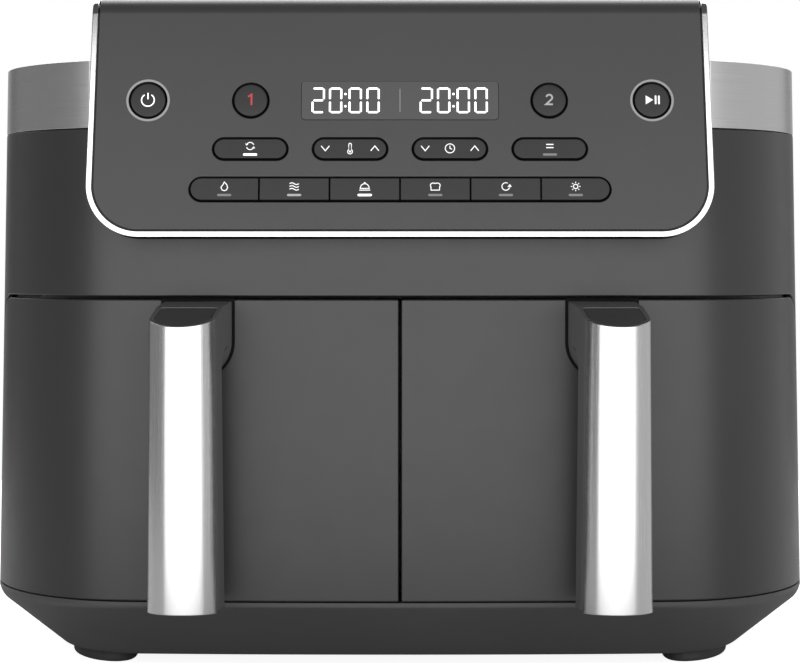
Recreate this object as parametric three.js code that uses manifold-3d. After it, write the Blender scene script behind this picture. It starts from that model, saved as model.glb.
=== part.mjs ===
// A two-drawer air fryer, in millimetres. +Z is up, -Y is the front and +X is the user's right.
// The origin is the middle of the object's footprint, on the worktop.
import * as THREE from "three";
import { mergeVertices } from "three/addons/utils/BufferGeometryUtils.js";
import Module from "manifold-3d";

const wasm = await Module();
wasm.setup();

// Overall sizes
const WIDTH = 394;
const HEIGHT = 313;
const DEPTH = 352;
const GAP = 0.3; // left between pieces that touch
const WALL = 3;

// Body in plan
const FRONT = -130;
const REAR = 170;
const BOW_RADIUS = 1610;
const CORNER_WIDTH = 71;
const CORNER_DEPTH = 106;
const REAR_RADIUS = 60;
const SIDE_TAPER = 0.02; // the sides lean in by this much per millimetre of height
const BOW_STEPS = 3;
const CORNER_STEPS = 7;
const REAR_STEPS = 4;

// Levels
const FOOT_HEIGHT = 5.5;
const CHAMFER_TOP = 34.6;
const BASE_TOP = 36.8;
const DRAWER_BOTTOM = 37.2;
const DRAWER_TOP = 175.3;
const LEDGE_BOTTOM = 176.8;
const BAND_BOTTOM = 253.7;
const BAND_TOP = 284.4;

// Base chamfer
const CHAMFER_SIDE = 35;
const CHAMFER_FRONT = 50;
const CHAMFER_REAR = 22;
const CHAMFER_CORNER = { width: 38, depth: 42 }; // of the base's underside at the front

// Drawers and what they slide in
const DRAWER_SKIN = 3;
const DRAWER_SIDE_END = -44; // the drawer front wraps round the corner as far back as this
const DRAWER_CORNER = 20; // radius of its upper corner in side view
const BAY_GAP = 1; // between the side end of a drawer and the housing
const DRAWER_GAP = 1.2;
const DRAWER_BACK_FRONT = -94;
const DRAWER_BACK_REAR = -91.5;
const FRAME_FRONT = -90;
const FRAME_THICKNESS = 2.5;
const FRAME_FLANGE = 2;
const PAN = { inner: 10, outer: 163, front: -91.2, rear: 135, bottom: 44, top: 156, radius: 26, wall: 1.8 };
const LINER = { inner: 6, outer: 168, front: -86.2, rear: 141, bottom: 38.5, top: 198, wall: 1.5 };
const LINER_LINTEL = 160;
const FRAME_INSET = 4.6; // between the body's outside and the front frame's
const PAN_FOLD = 8; // the chamfer round the pan's floor
const PAN_RIM = 1; // how far the pan's rim turns out
const PAN_RIM_THICKNESS = 2;
const PLATE_LEVEL = 60;
const PLATE_THICKNESS = 2;

// Heating and air, about each zone's own upright axis
const ZONE_X = 86.5;
const ZONE_Y = 22;
const SHAFT_RADIUS = 4;
const SHAFT_CLEARANCE = 0.6;

// Control panel
const LEAN = THREE.MathUtils.degToRad(14);
const PANEL_FRONT = -143.2;
const PANEL_BOTTOM = 203.7;
const PANEL_SEAM = -104;
const PANEL_BACK = -112; // how far its walls reach into the housing
const PANEL_SKIRT = 8; // how far its walls go on below its lower edge
const PANEL_ROLL = 9.5;
const PANEL_HALF_BOTTOM = 142;
const PANEL_HALF_TOP = 140.5;
const PANEL_CORNER = 24;
const TRIM_WIDTH = 2.7;
const TRIM_DEPTH = 2;
const BUTTON_GAP = 0.9; // all round each button cap
const BUTTON_PROUD = 0.7;
const BUTTON_BACK = -9;

// Handles
const HANDLE = { x: 92, reach: 48.7, skew: THREE.MathUtils.degToRad(7) };
const HANDLE_TOP_REAR = 174.8;
const HANDLE_TOP_BEND = 172.6;
const HANDLE_TOP_FRONT = 164.3;
const HANDLE_BEND = 20; // how far out its top turns down
const HANDLE_BOTTOM = 37;
const HANDLE_HALF_TOP = 15.2;
const HANDLE_HALF_BOTTOM = 16.6;
const HANDLE_NOSE = 15; // how far the round front stands in front of the straight sides
const NOSE_STEPS = 8;
const HANDLE_BAR_BACK = 22.5;
const HANDLE_ROOT = -1; // how far back its plan section starts
const HANDLE_ARCH = { foot: 144, top: 156 }; // the curve under its root
const TRIM_SHEET = 1.4; // thickness of the steel round its front
const TRIM_BACK = 38; // how far out the steel starts
const CORE_INSET = 1.7; // of what stands inside the steel
const CAP_DROP = 0.3; // below the steel's edge
const CORE_DROP = 2.8;
const CORE_LIFT = 1.2; // above the steel's lower end
const HANDLE_SPARE = 5; // cut off again by its sloping top
const NEAR_BODY_BOTTOM = 100;

const SIDES = { left: -1, right: 1 };

// Materials
const paint = (color, roughness, metalness = 0) =>
  new THREE.MeshStandardMaterial({ color, roughness, metalness });
const MATERIALS = {
  charcoal: paint(0x4a4a4b, 0.5),
  panel: paint(0x545455, 0.45),
  dark: paint(0x2a2a2b, 0.6),
  button: paint(0x3c3c3d, 0.45),
  glass: paint(0x606061, 0.15),
  steel: paint(0xb9b9b8, 0.3, 1),
  chrome: paint(0xe4e4e4, 0.12, 1),
  rubber: paint(0x1c1c1c, 0.85),
  coated: paint(0x2e2e30, 0.4, 0.5),
  sheet: paint(0xa7a9aa, 0.4, 1),
  element: paint(0x5a5450, 0.5, 1),
  fan: paint(0xc4c6c8, 0.35, 1),
  motor: paint(0x77787a, 0.45, 1),
  board: paint(0x1f5a36, 0.5),
};

// A closed geometry as a solid that can be joined and cut.
function solid(geometry) {
  const bare = geometry.index ? geometry.toNonIndexed() : geometry.clone();
  bare.deleteAttribute("normal");
  bare.deleteAttribute("uv");
  const merged = mergeVertices(bare, 1e-3);
  const mesh = new wasm.Mesh({
    numProp: 3,
    vertProperties: new Float32Array(merged.attributes.position.array),
    triVerts: new Uint32Array(merged.index.array),
  });
  return new wasm.Manifold(mesh);
}

const join = (...pieces) => pieces.reduce((a, b) => a.add(b));
const cut = (piece, ...tools) => tools.reduce((a, b) => a.subtract(b), piece);
const common = (...pieces) => pieces.reduce((a, b) => a.intersect(b));

function geometryOf(piece) {
  const mesh = piece.getMesh();
  const geometry = new THREE.BufferGeometry();
  geometry.setAttribute("position", new THREE.BufferAttribute(mesh.vertProperties, 3));
  geometry.setIndex(new THREE.BufferAttribute(mesh.triVerts, 1));
  const faceted = geometry.toNonIndexed();
  faceted.computeVertexNormals();
  return faceted;
}

// A solid skinned over closed outlines, each { z, points } with the same number of points.
function loft(levels) {
  const count = levels[0].points.length;
  const positions = levels.flatMap(({ z, points }) => points.flatMap((p) => [p.x, p.y, z]));
  const index = [];
  for (let level = 0; level < levels.length - 1; level++) {
    for (let i = 0; i < count; i++) {
      const a = level * count + i;
      const b = level * count + ((i + 1) % count);
      index.push(a, b, b + count, a, b + count, a + count);
    }
  }
  const top = (levels.length - 1) * count;
  for (const [a, b, c] of THREE.ShapeUtils.triangulateShape(levels[0].points, [])) {
    index.push(a, c, b, top + a, top + b, top + c);
  }
  const geometry = new THREE.BufferGeometry();
  geometry.setAttribute("position", new THREE.Float32BufferAttribute(positions, 3));
  geometry.setIndex(index);
  return solid(geometry);
}

function block(x0, x1, y0, y1, z0, z1) {
  const geometry = new THREE.BoxGeometry(x1 - x0, y1 - y0, z1 - z0);
  return solid(geometry.translate((x0 + x1) / 2, (y0 + y1) / 2, (z0 + z1) / 2));
}

// An upright round bar about (x, y).
function drum(x, y, radius, z0, z1, sides = 24) {
  const geometry = new THREE.CylinderGeometry(radius, radius, z1 - z0, sides);
  return solid(geometry.rotateX(Math.PI / 2).translate(x, y, (z0 + z1) / 2));
}

function extrude(shape, from, to, matrix, curveSegments = 5) {
  const geometry = new THREE.ExtrudeGeometry(shape, { depth: to - from, bevelEnabled: false, curveSegments });
  geometry.translate(0, 0, from);
  return solid(matrix ? geometry.applyMatrix4(matrix) : geometry);
}

const basis = (x, y, z) =>
  new THREE.Matrix4().makeBasis(new THREE.Vector3(...x), new THREE.Vector3(...y), new THREE.Vector3(...z));

// A side view drawn in (y, z), extruded across x.
const acrossX = (shape, x0, x1) => extrude(shape, x0, x1, basis([0, 1, 0], [0, 0, 1], [1, 0, 0]));

function roundedRectangle(cx, cy, width, height, radius) {
  const [hw, hh] = [width / 2 - radius, height / 2 - radius];
  const shape = new THREE.Shape();
  shape.absarc(cx + hw, cy + hh, radius, 0, Math.PI / 2);
  shape.absarc(cx - hw, cy + hh, radius, Math.PI / 2, Math.PI);
  shape.absarc(cx - hw, cy - hh, radius, Math.PI, Math.PI * 1.5);
  shape.absarc(cx + hw, cy - hh, radius, Math.PI * 1.5, Math.PI * 2);
  shape.closePath();
  return shape;
}

function disc(cx, cy, radius) {
  const shape = new THREE.Shape();
  shape.absarc(cx, cy, radius, 0, Math.PI * 2);
  return shape;
}

const polygon = (points) => new THREE.Shape(points.map(([x, y]) => new THREE.Vector2(x, y)));

// Plan outline, anticlockwise from above: bowed front, elliptical front corners, round rear corners.
function planOutline({ half, front, rear, cornerWidth, cornerDepth, rearRadius }) {
  const flat = half - cornerWidth;
  const bow = (x) => (x * x) / (2 * BOW_RADIUS);
  const right = [];
  for (let i = 0; i <= BOW_STEPS; i++) {
    const x = (flat * i) / BOW_STEPS;
    right.push([x, front + bow(x)]);
  }
  for (let i = 1; i <= CORNER_STEPS; i++) {
    const turn = ((Math.PI / 2) * i) / CORNER_STEPS;
    const x = flat + cornerWidth * Math.sin(turn);
    const bowed = bow(flat) + (bow(x) - bow(flat)) * Math.cos(turn);
    right.push([x, front + bowed + cornerDepth * (1 - Math.cos(turn))]);
  }
  for (let i = 0; i <= REAR_STEPS; i++) {
    const turn = ((Math.PI / 2) * i) / REAR_STEPS;
    const x = half - rearRadius * (1 - Math.cos(turn));
    right.push([x, rear - rearRadius * (1 - Math.sin(turn))]);
  }
  const left = right.slice(1).map(([x, y]) => [-x, y]).reverse();
  return [...right, ...left].map(([x, y]) => new THREE.Vector2(x, y));
}

const halfWidth = (z) => WIDTH / 2 - SIDE_TAPER * (z - BASE_TOP);

const bodyOutline = (inset, z) =>
  planOutline({
    half: halfWidth(z) - inset,
    front: FRONT + inset,
    rear: REAR - inset,
    cornerWidth: CORNER_WIDTH - inset,
    cornerDepth: CORNER_DEPTH - inset,
    rearRadius: REAR_RADIUS - inset,
  });

const chamferOutline = (inset) =>
  planOutline({
    half: WIDTH / 2 - CHAMFER_SIDE - inset,
    front: FRONT + CHAMFER_FRONT + inset,
    rear: REAR - CHAMFER_REAR - inset,
    cornerWidth: CHAMFER_CORNER.width - inset,
    cornerDepth: CHAMFER_CORNER.depth - inset,
    rearRadius: REAR_RADIUS - CHAMFER_REAR - inset,
  });

// The body's own volume between two levels, drawn in by an inset.
const bodyLoft = (inset, z0, z1) =>
  loft([z0, z1].map((z) => ({ z, points: bodyOutline(inset, z) })));

const BIG = 400;
const behind = (y) => block(-BIG, BIG, y, BIG, -BIG, BIG);
const inFrontOf = (y) => block(-BIG, BIG, -BIG, y, -BIG, BIG);
const onSide = (side, x0) => (side < 0 ? block(-BIG, -x0, -BIG, BIG, -BIG, BIG) : block(x0, BIG, -BIG, BIG, -BIG, BIG));
// A block given by its distances from the middle plane, on the left or on the right.
const sideBlock = (side, inner, outer, ...rest) =>
  side < 0 ? block(-outer, -inner, ...rest) : block(inner, outer, ...rest);

const object = new THREE.Group();

function add(name, piece, material) {
  const mesh = new THREE.Mesh(geometryOf(piece), material);
  mesh.name = name;
  object.add(mesh);
  return mesh;
}

// ---------- Control panel shapes ----------

const PANEL_CUT_START = 60; // the outline's reach, forward of the origin
const PANEL_CUT_END = 200;

// The panel's face frame: x across, y up the lean, z out of the face.
const FACE = basis([1, 0, 0], [0, Math.sin(LEAN), Math.cos(LEAN)], [0, -Math.cos(LEAN), Math.sin(LEAN)]);
FACE.setPosition(0, PANEL_FRONT, PANEL_BOTTOM);
const onFace = (shape, from, to, curveSegments) => extrude(shape, from, to, FACE, curveSegments);
// How far up the face a level lies.
const upFace = (z) => (z - PANEL_BOTTOM) / Math.cos(LEAN);

// The panel's side view, drawn in by an inset: leaning face, round roll, flat top.
function panelProfile(inset) {
  const radius = PANEL_ROLL - inset;
  const rollZ = HEIGHT - PANEL_ROLL;
  const faceZ = rollZ + PANEL_ROLL * Math.sin(LEAN);
  const rollY = PANEL_FRONT + (faceZ - PANEL_BOTTOM) * Math.tan(LEAN) + PANEL_ROLL * Math.cos(LEAN);
  const low = PANEL_BOTTOM - PANEL_SKIRT;
  const lowY = PANEL_FRONT + (low - PANEL_BOTTOM) * Math.tan(LEAN) + inset / Math.cos(LEAN);
  const reachBack = inset ? 1 : 0;
  const back = PANEL_SEAM + reachBack;
  const shape = new THREE.Shape();
  shape.moveTo(lowY, low);
  shape.lineTo(PANEL_BACK + reachBack, low);
  shape.lineTo(PANEL_BACK + reachBack, BAND_TOP);
  shape.lineTo(back, BAND_TOP);
  shape.lineTo(back, HEIGHT - inset);
  shape.absarc(rollY, rollZ, radius, Math.PI / 2, Math.PI - LEAN, false);
  shape.closePath();
  return shape;
}

// The panel's front view, drawn in by an inset: two rounded lower corners and slightly tapered sides.
function panelOutline(inset) {
  const top = HEIGHT + 10;
  const [low, high] = [PANEL_HALF_BOTTOM - inset, PANEL_HALF_TOP - inset];
  const radius = PANEL_CORNER - inset;
  const cornerZ = PANEL_BOTTOM + PANEL_CORNER;
  const shape = new THREE.Shape();
  shape.moveTo(high, top);
  shape.lineTo(-high, top);
  shape.lineTo(-low, cornerZ);
  shape.absarc(-low + radius, cornerZ, radius, Math.PI, Math.PI * 1.5);
  shape.absarc(low - radius, cornerZ, radius, Math.PI * 1.5, Math.PI * 2);
  shape.closePath();
  return shape;
}

const profilePrism = (inset) => acrossX(panelProfile(inset), -PANEL_HALF_BOTTOM - 5, PANEL_HALF_BOTTOM + 5);
const FORWARD = basis([1, 0, 0], [0, 0, 1], [0, -1, 0]);
const outlinePrism = (inset) => extrude(panelOutline(inset), PANEL_CUT_START, PANEL_CUT_END, FORWARD);

// The hole that the panel fills in the housing and the band.
const panelOpening = () => outlinePrism(-0.4);

// Everything in front of a side end and below a level, with a round upper rear corner, drawn in (y, z).
function sideReach(end, top, radius) {
  const shape = new THREE.Shape();
  shape.moveTo(-BIG, 0);
  shape.lineTo(end, 0);
  shape.lineTo(end, top - radius);
  shape.absarc(end - radius, top - radius, radius, 0, Math.PI / 2, false);
  shape.lineTo(-BIG, top);
  shape.closePath();
  return acrossX(shape, -BIG, BIG);
}

// ---------- Housing ----------

const VENT = { half: 88, bottom: 190, top: 244, corner: 6, slots: 14, slotHalf: 3, border: 8, lip: 6 };
const GLAND = { x: 112, z: 60, flange: 9, barrel: 6.2, bore: 4, proud: 3, inside: 6 };
const SHOULDER = 1.5; // how far the shell steps in behind the steel band
const BAND_THICKNESS = 1.2;
const LEDGE_THICKNESS = 2.5;
const FEET = { x: 144.3, front: -35, rear: 96, length: 60, width: 29, turn: THREE.MathUtils.degToRad(19.6) };
const SWITCH_SLOT = { half: 5.5, bottom: 102, top: 110 };

function baseTray() {
  const outer = loft([
    { z: FOOT_HEIGHT, points: chamferOutline(0) },
    { z: CHAMFER_TOP, points: bodyOutline(0, BASE_TOP) },
    { z: BASE_TOP, points: bodyOutline(0, BASE_TOP) },
  ]);
  const deckUnderside = CHAMFER_TOP - GAP;
  const hollow = loft([
    { z: FOOT_HEIGHT + WALL, points: chamferOutline(WALL) },
    { z: deckUnderside, points: bodyOutline(WALL + 1, BASE_TOP) },
  ]);
  const mouth = common(bodyLoft(WALL + 1, deckUnderside - 1, BASE_TOP + 1), behind(LINER.front));
  return cut(outer, hollow, mouth);
}

function mainShell() {
  const bottom = BASE_TOP + GAP;
  const shoulder = BAND_BOTTOM - GAP;
  const top = BAND_TOP - WALL - GAP;
  const outer = join(bodyLoft(0, bottom, shoulder), bodyLoft(SHOULDER, shoulder, top));
  const walls = cut(outer, bodyLoft(WALL, bottom - 1, top + 1));
  const ledge = common(bodyLoft(1, LEDGE_BOTTOM, LEDGE_BOTTOM + LEDGE_THICKNESS), inFrontOf(FRAME_FRONT));
  const drawerBay = sideReach(DRAWER_SIDE_END + BAY_GAP, LEDGE_BOTTOM, DRAWER_CORNER + BAY_GAP);
  const ventHalf = VENT.half - VENT.lip;
  const ventHole = block(-ventHalf, ventHalf, REAR - 10, BIG, VENT.bottom + VENT.lip, VENT.top - VENT.lip);
  const glandHole = rearDrum(GLAND.barrel + GAP, REAR - 10, REAR + 10);
  return cut(join(walls, ledge), drawerBay, panelOpening(), ventHole, glandHole);
}

function rearDrum(radius, y0, y1) {
  const geometry = new THREE.CylinderGeometry(radius, radius, y1 - y0, 16);
  return solid(geometry.translate(GLAND.x, (y0 + y1) / 2, GLAND.z));
}

function steelBand() {
  const ring = cut(bodyLoft(0, BAND_BOTTOM, BAND_TOP), bodyLoft(BAND_THICKNESS, BAND_BOTTOM - 1, BAND_TOP + 1));
  return cut(ring, panelOpening());
}

const SADDLE_REAR = 150;
const SADDLE_CURVE_START = 112;
const SADDLE_CURVE_LEVEL = 293;
const SADDLE_CURVE_LEAN = 4;

// The raised saddle's side view, drawn in by an inset.
function saddleProfile(inset) {
  const past = inset ? 1 : 0; // the hollow runs out past the open front and underside
  const front = PANEL_SEAM + GAP - past;
  const bottom = BAND_TOP - WALL - past;
  const top = HEIGHT - inset;
  const rear = SADDLE_REAR - inset;
  const shape = new THREE.Shape();
  shape.moveTo(front, bottom);
  shape.lineTo(rear, bottom);
  shape.lineTo(rear, SADDLE_CURVE_LEVEL);
  shape.quadraticCurveTo(rear - SADDLE_CURVE_LEAN, top, SADDLE_CURVE_START - inset, top);
  shape.lineTo(front, top);
  shape.closePath();
  return shape;
}

function topCover() {
  const shoulders = bodyLoft(SHOULDER, BAND_TOP - WALL, BAND_TOP);
  const saddle = acrossX(saddleProfile(0), -PANEL_HALF_TOP, PANEL_HALF_TOP);
  const half = PANEL_HALF_TOP - WALL;
  const hollow = acrossX(saddleProfile(WALL), -half, half);
  const panelRoom = block(-PANEL_HALF_BOTTOM - 1, PANEL_HALF_BOTTOM + 1, -BIG, PANEL_SEAM + GAP, 0, BIG);
  return cut(join(shoulders, saddle), hollow, panelRoom);
}

function frontFrame() {
  const [bottom, top] = [BASE_TOP + GAP, LEDGE_BOTTOM - GAP];
  const tray = common(bodyLoft(FRAME_INSET, bottom, top), behind(FRAME_FRONT), inFrontOf(DRAWER_SIDE_END + 8));
  const flanges = bodyLoft(FRAME_INSET + FRAME_FLANGE, bottom - 1, top + 1);
  const hollow = common(flanges, behind(FRAME_FRONT + FRAME_THICKNESS));
  const [inner, outer] = [LINER.inner + LINER.wall, LINER.outer - LINER.wall];
  const openings = Object.values(SIDES).map((side) =>
    sideBlock(side, inner, outer, -BIG, 0, bottom + FRAME_THICKNESS, LINER_LINTEL),
  );
  const switchSlot = block(-SWITCH_SLOT.half, SWITCH_SLOT.half, -BIG, 0, SWITCH_SLOT.bottom, SWITCH_SLOT.top);
  return cut(tray, hollow, ...openings, switchSlot);
}

function rearVent() {
  const depth = DEPTH / 2 - REAR - GAP;
  const middle = (VENT.bottom + VENT.top) / 2;
  const plan = roundedRectangle(0, middle, VENT.half * 2, VENT.top - VENT.bottom, VENT.corner);
  const rearward = basis([-1, 0, 0], [0, 0, 1], [0, 1, 0]).setPosition(0, REAR + GAP, 0);
  const cover = extrude(plan, 0, depth, rearward, 3);
  const reach = VENT.half - VENT.border;
  const pitch = (reach * 2) / VENT.slots;
  const slots = Array.from({ length: VENT.slots }, (_, i) => {
    const x = -reach + pitch * (i + 0.5);
    const [left, right] = [x - VENT.slotHalf, x + VENT.slotHalf];
    return block(left, right, REAR, BIG, VENT.bottom + VENT.border, VENT.top - VENT.border);
  });
  return cut(cover, ...slots);
}

function cordGland() {
  const flange = rearDrum(GLAND.flange, REAR + GAP, REAR + GLAND.proud);
  const barrel = rearDrum(GLAND.barrel, REAR - GLAND.inside, REAR + 1);
  return cut(join(flange, barrel), rearDrum(GLAND.bore, REAR - 10, REAR + 10));
}

// An oval rubber foot that runs along the corner it stands under.
function foot(side, y) {
  const angle = Math.PI / 2 + side * Math.sign(y) * FEET.turn;
  const shape = new THREE.Shape();
  shape.absellipse(side * FEET.x, y, FEET.length / 2, FEET.width / 2, 0, Math.PI * 2, false, angle);
  return extrude(shape, 0, FOOT_HEIGHT - GAP, null, 11);
}

add("base_tray", baseTray(), MATERIALS.charcoal);
add("main_shell", mainShell(), MATERIALS.charcoal);
add("steel_band", steelBand(), MATERIALS.steel);
add("top_cover", topCover(), MATERIALS.charcoal);
add("front_frame", frontFrame(), MATERIALS.dark);
add("rear_vent", rearVent(), MATERIALS.dark);
add("cord_gland", cordGland(), MATERIALS.rubber);
for (const [name, side] of Object.entries(SIDES)) {
  add(`${name}_front_foot`, foot(side, FEET.front), MATERIALS.rubber);
  add(`${name}_rear_foot`, foot(side, FEET.rear), MATERIALS.rubber);
}

// ---------- Panel contents ----------

const ROUND_LEVEL = upFace(265.8);
const PILL_LEVEL = upFace(243.6);
const FUNCTION_LEVEL = upFace(225.2);
const ROUND_BUTTONS = [
  ["power_button", -114.5, 8.85],
  ["zone_1_button", -67.8, 8.5],
  ["zone_2_button", 67.8, 8.5],
  ["start_button", 114.5, 8.85],
];
const PILLS = [
  ["sync_button", -67.8],
  ["temperature_rocker", -22.6],
  ["time_rocker", 22.6],
  ["match_button", 67.8],
];
const PILL = { width: 34.6, height: 11 };
const FUNCTIONS = { count: 6, width: 190.9, height: 11.9, seam: 0.6 };
const DISPLAY = { width: 89.2, height: 17.9, corner: 1.5, back: -2.2, front: -0.1 };
const BOARD = { half: 120, low: 15, high: 84, back: -16, front: -14.4 };
const HOLE_BACK = -8; // the panel's holes run from this far behind its face to this far in front
const HOLE_FRONT = 3;

const pill = (x, grow) =>
  roundedRectangle(x, PILL_LEVEL, PILL.width + grow, PILL.height + grow, (PILL.height + grow) / 2);
const functionRow = (grow) =>
  roundedRectangle(0, FUNCTION_LEVEL, FUNCTIONS.width + grow, FUNCTIONS.height + grow, (FUNCTIONS.height + grow) / 2);
const displayShape = (grow) =>
  roundedRectangle(0, ROUND_LEVEL, DISPLAY.width + grow, DISPLAY.height + grow, DISPLAY.corner);

function controlPanel() {
  const body = common(profilePrism(0), outlinePrism(0));
  const hollow = common(profilePrism(WALL), outlinePrism(WALL + 1));
  const rebate = cut(common(profilePrism(-1), outlinePrism(-1)), outlinePrism(TRIM_WIDTH + GAP));
  const trimSeat = cut(rebate, profilePrism(TRIM_DEPTH + GAP));
  const holes = [
    ...ROUND_BUTTONS.map(([, x, radius]) => onFace(disc(x, ROUND_LEVEL, radius), HOLE_BACK, HOLE_FRONT, 8)),
    ...PILLS.map(([, x]) => onFace(pill(x, 0), HOLE_BACK, HOLE_FRONT, 3)),
    onFace(functionRow(0), HOLE_BACK, HOLE_FRONT, 3),
    onFace(displayShape(GAP * 2), HOLE_BACK, HOLE_FRONT, 2),
  ];
  return cut(body, hollow, trimSeat, ...holes);
}

function panelTrim() {
  const rim = cut(common(profilePrism(0), outlinePrism(0)), outlinePrism(TRIM_WIDTH));
  return cut(rim, profilePrism(TRIM_DEPTH));
}

// One cap of the six in the function row: the row's outline between two seams.
function functionCap(index) {
  const pitch = FUNCTIONS.width / FUNCTIONS.count;
  const [left, right] = [index, index + 1].map((i) => -FUNCTIONS.width / 2 + i * pitch);
  const first = index === 0 ? 1 : 0;
  const last = index === FUNCTIONS.count - 1 ? 1 : 0;
  const [x0, x1] = [left + FUNCTIONS.seam / 2 - first, right - FUNCTIONS.seam / 2 + last];
  const strip = polygon([[x0, 0], [x1, 0], [x1, ROUND_LEVEL], [x0, ROUND_LEVEL]]);
  const slice = onFace(strip, BUTTON_BACK - 1, BUTTON_PROUD + 1);
  return common(onFace(functionRow(-BUTTON_GAP * 2), BUTTON_BACK, BUTTON_PROUD, 3), slice);
}

add("control_panel", controlPanel(), MATERIALS.panel);
add("panel_trim", panelTrim(), MATERIALS.chrome);
add("display_window", onFace(displayShape(0), DISPLAY.back, DISPLAY.front, 2), MATERIALS.glass);
const boardShape = polygon([
  [-BOARD.half, BOARD.low],
  [BOARD.half, BOARD.low],
  [BOARD.half, BOARD.high],
  [-BOARD.half, BOARD.high],
]);
add("control_board", onFace(boardShape, BOARD.back, BOARD.front), MATERIALS.board);
for (const [name, x, radius] of ROUND_BUTTONS) {
  add(name, onFace(disc(x, ROUND_LEVEL, radius - BUTTON_GAP), BUTTON_BACK, BUTTON_PROUD, 8), MATERIALS.button);
}
for (const [name, x] of PILLS) {
  add(name, onFace(pill(x, -BUTTON_GAP * 2), BUTTON_BACK, BUTTON_PROUD, 3), MATERIALS.button);
}
for (let i = 0; i < FUNCTIONS.count; i++) {
  add(`function_button_${i + 1}`, functionCap(i), MATERIALS.button);
}

// ---------- Heating, air and electronics ----------

const HEATER = { tube: 3.2, inner: 50, outer: 62, level: 176, turns: 1.9, steps: 26 };
// Each ring is [outer radius, width].
const GUARD = {
  bottom: 164,
  top: 166.5,
  outer: [71, 3.5],
  middle: [43, 3],
  inner: [16, 5],
  spoke: 1.5,
  strapHalf: 4,
  strapRadius: 69.5,
};
const MOTOR = { radius: 31, bottom: 207, top: 234, lugReach: 42, lugHalf: 7, lugThickness: 3 };
const DECK = { bottom: 204, top: 206, front: -82, rear: 162, hole: 9 };
const SHAFT = { bottom: 183, top: 248 };
const POWER_BOARD = { half: 44, front: 44, rear: 140, bottom: 256, thickness: 1.6 };
// What stands on the power board: left, right, front, rear and top of each.
const POWER_BOARD_PARTS = [
  [-34, -6, 60, 96, 284], // transformer
  [4, 22, 58, 76, 276], // relays
  [4, 22, 84, 102, 272],
  [28, 40, 54, 120, 280], // heat sink
  [-36, -14, 108, 130, 274], // capacitor
];
const SWITCH_BOARD = { half: 0.8, front: -84, rear: -50, bottom: 92, top: 130 };
const SWITCH = { inner: 0.5, outer: 4.8, front: -84, rear: -64, bottom: 100, top: 112 };
const PLUNGER = { inner: 1.6, outer: 4.4, front: -91, rear: -83, bottom: 104.5, top: 107.5 };

function liner(side) {
  const { inner, outer, front, rear, bottom, top, wall } = LINER;
  const shell = sideBlock(side, inner, outer, front, rear, bottom, top);
  const hollow = sideBlock(side, inner + wall, outer - wall, front + wall, rear - wall, bottom + wall, top - wall);
  const mouth = sideBlock(side, inner + wall, outer - wall, front - 1, front + wall + 1, bottom + wall, LINER_LINTEL);
  const shaftHole = drum(side * ZONE_X, ZONE_Y, SHAFT_RADIUS + 3, top - 10, top + 10, 12);
  return cut(shell, hollow, mouth, shaftHole);
}

// Two turns of tube under the fan, with both ends rising to the roof of the liner.
function heater(side) {
  const { tube, inner, outer, level, turns, steps } = HEATER;
  const points = [];
  for (let i = 0; i <= steps; i++) {
    const turn = (i / steps) * turns * Math.PI * 2;
    const radius = inner + ((outer - inner) * i) / steps;
    points.push(new THREE.Vector3(radius * Math.cos(turn), radius * Math.sin(turn), level));
  }
  const riser = (point) => point.clone().setZ(LINER.top - LINER.wall - 1);
  const ends = [points[0], points[steps]];
  const path = new THREE.CatmullRomCurve3(points);
  const section = disc(0, 0, tube);
  const options = { steps: steps + 6, bevelEnabled: false, extrudePath: path, curveSegments: 3 };
  const coil = solid(new THREE.ExtrudeGeometry(section, options).translate(side * ZONE_X, ZONE_Y, 0));
  const risers = ends.map((end) => {
    const top = riser(end).z;
    return drum(side * ZONE_X + end.x, ZONE_Y + end.y, tube, level - tube, top, 6);
  });
  return join(coil, ...risers);
}

// Open rings and spokes that keep food away from the element, hung from the liner's roof by four straps.
function fanGuard(side) {
  const [x, y] = [side * ZONE_X, ZONE_Y];
  const { bottom, top, outer, middle, inner, spoke, strapHalf, strapRadius } = GUARD;
  const ring = ([radius, width]) =>
    cut(drum(x, y, radius, bottom, top, 16), drum(x, y, radius - width, bottom - 1, top + 1, 16));
  const rings = [outer, middle, inner].map(ring);
  const [near, far] = [inner[0] - inner[1] + 1, outer[0] - 1];
  const spokes = [-1, 1].flatMap((end) => [
    block(x + Math.min(end * near, end * far), x + Math.max(end * near, end * far), y - spoke, y + spoke, bottom, top),
    block(x - spoke, x + spoke, y + Math.min(end * near, end * far), y + Math.max(end * near, end * far), bottom, top),
  ]);
  const strapTop = LINER.top - LINER.wall - GAP;
  const straps = [-1, 1].flatMap((end) => {
    const middleLine = end * strapRadius;
    return [
      block(x - strapHalf, x + strapHalf, y + middleLine - 1, y + middleLine + 1, bottom, strapTop),
      block(x + middleLine - 1, x + middleLine + 1, y - strapHalf, y + strapHalf, bottom, strapTop),
    ];
  });
  return join(...rings, ...spokes, ...straps);
}

// A fan: a hub with flat blades set at a pitch, standing on a thin back disc where it has one.
function fan({ side, hub, radius, blades, z0, z1, disc: backing }) {
  const [x, y] = [side * ZONE_X, ZONE_Y];
  const pieces = [drum(x, y, hub, z0, z1, 12)];
  for (let i = 0; i < blades; i++) {
    const length = radius - hub + 2;
    const blade = new THREE.BoxGeometry(length, 1.4, z1 - z0);
    blade.translate(hub - 2 + length / 2, 0, (z0 + z1) / 2).rotateZ((i / blades) * Math.PI * 2);
    pieces.push(solid(blade.translate(x, y, 0)));
  }
  if (backing) pieces.push(drum(x, y, radius - 4, z1 - 1.2, z1, 20));
  return cut(join(...pieces), drum(x, y, SHAFT_RADIUS + GAP, z0 - 1, z1 + 1, 12));
}

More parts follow.
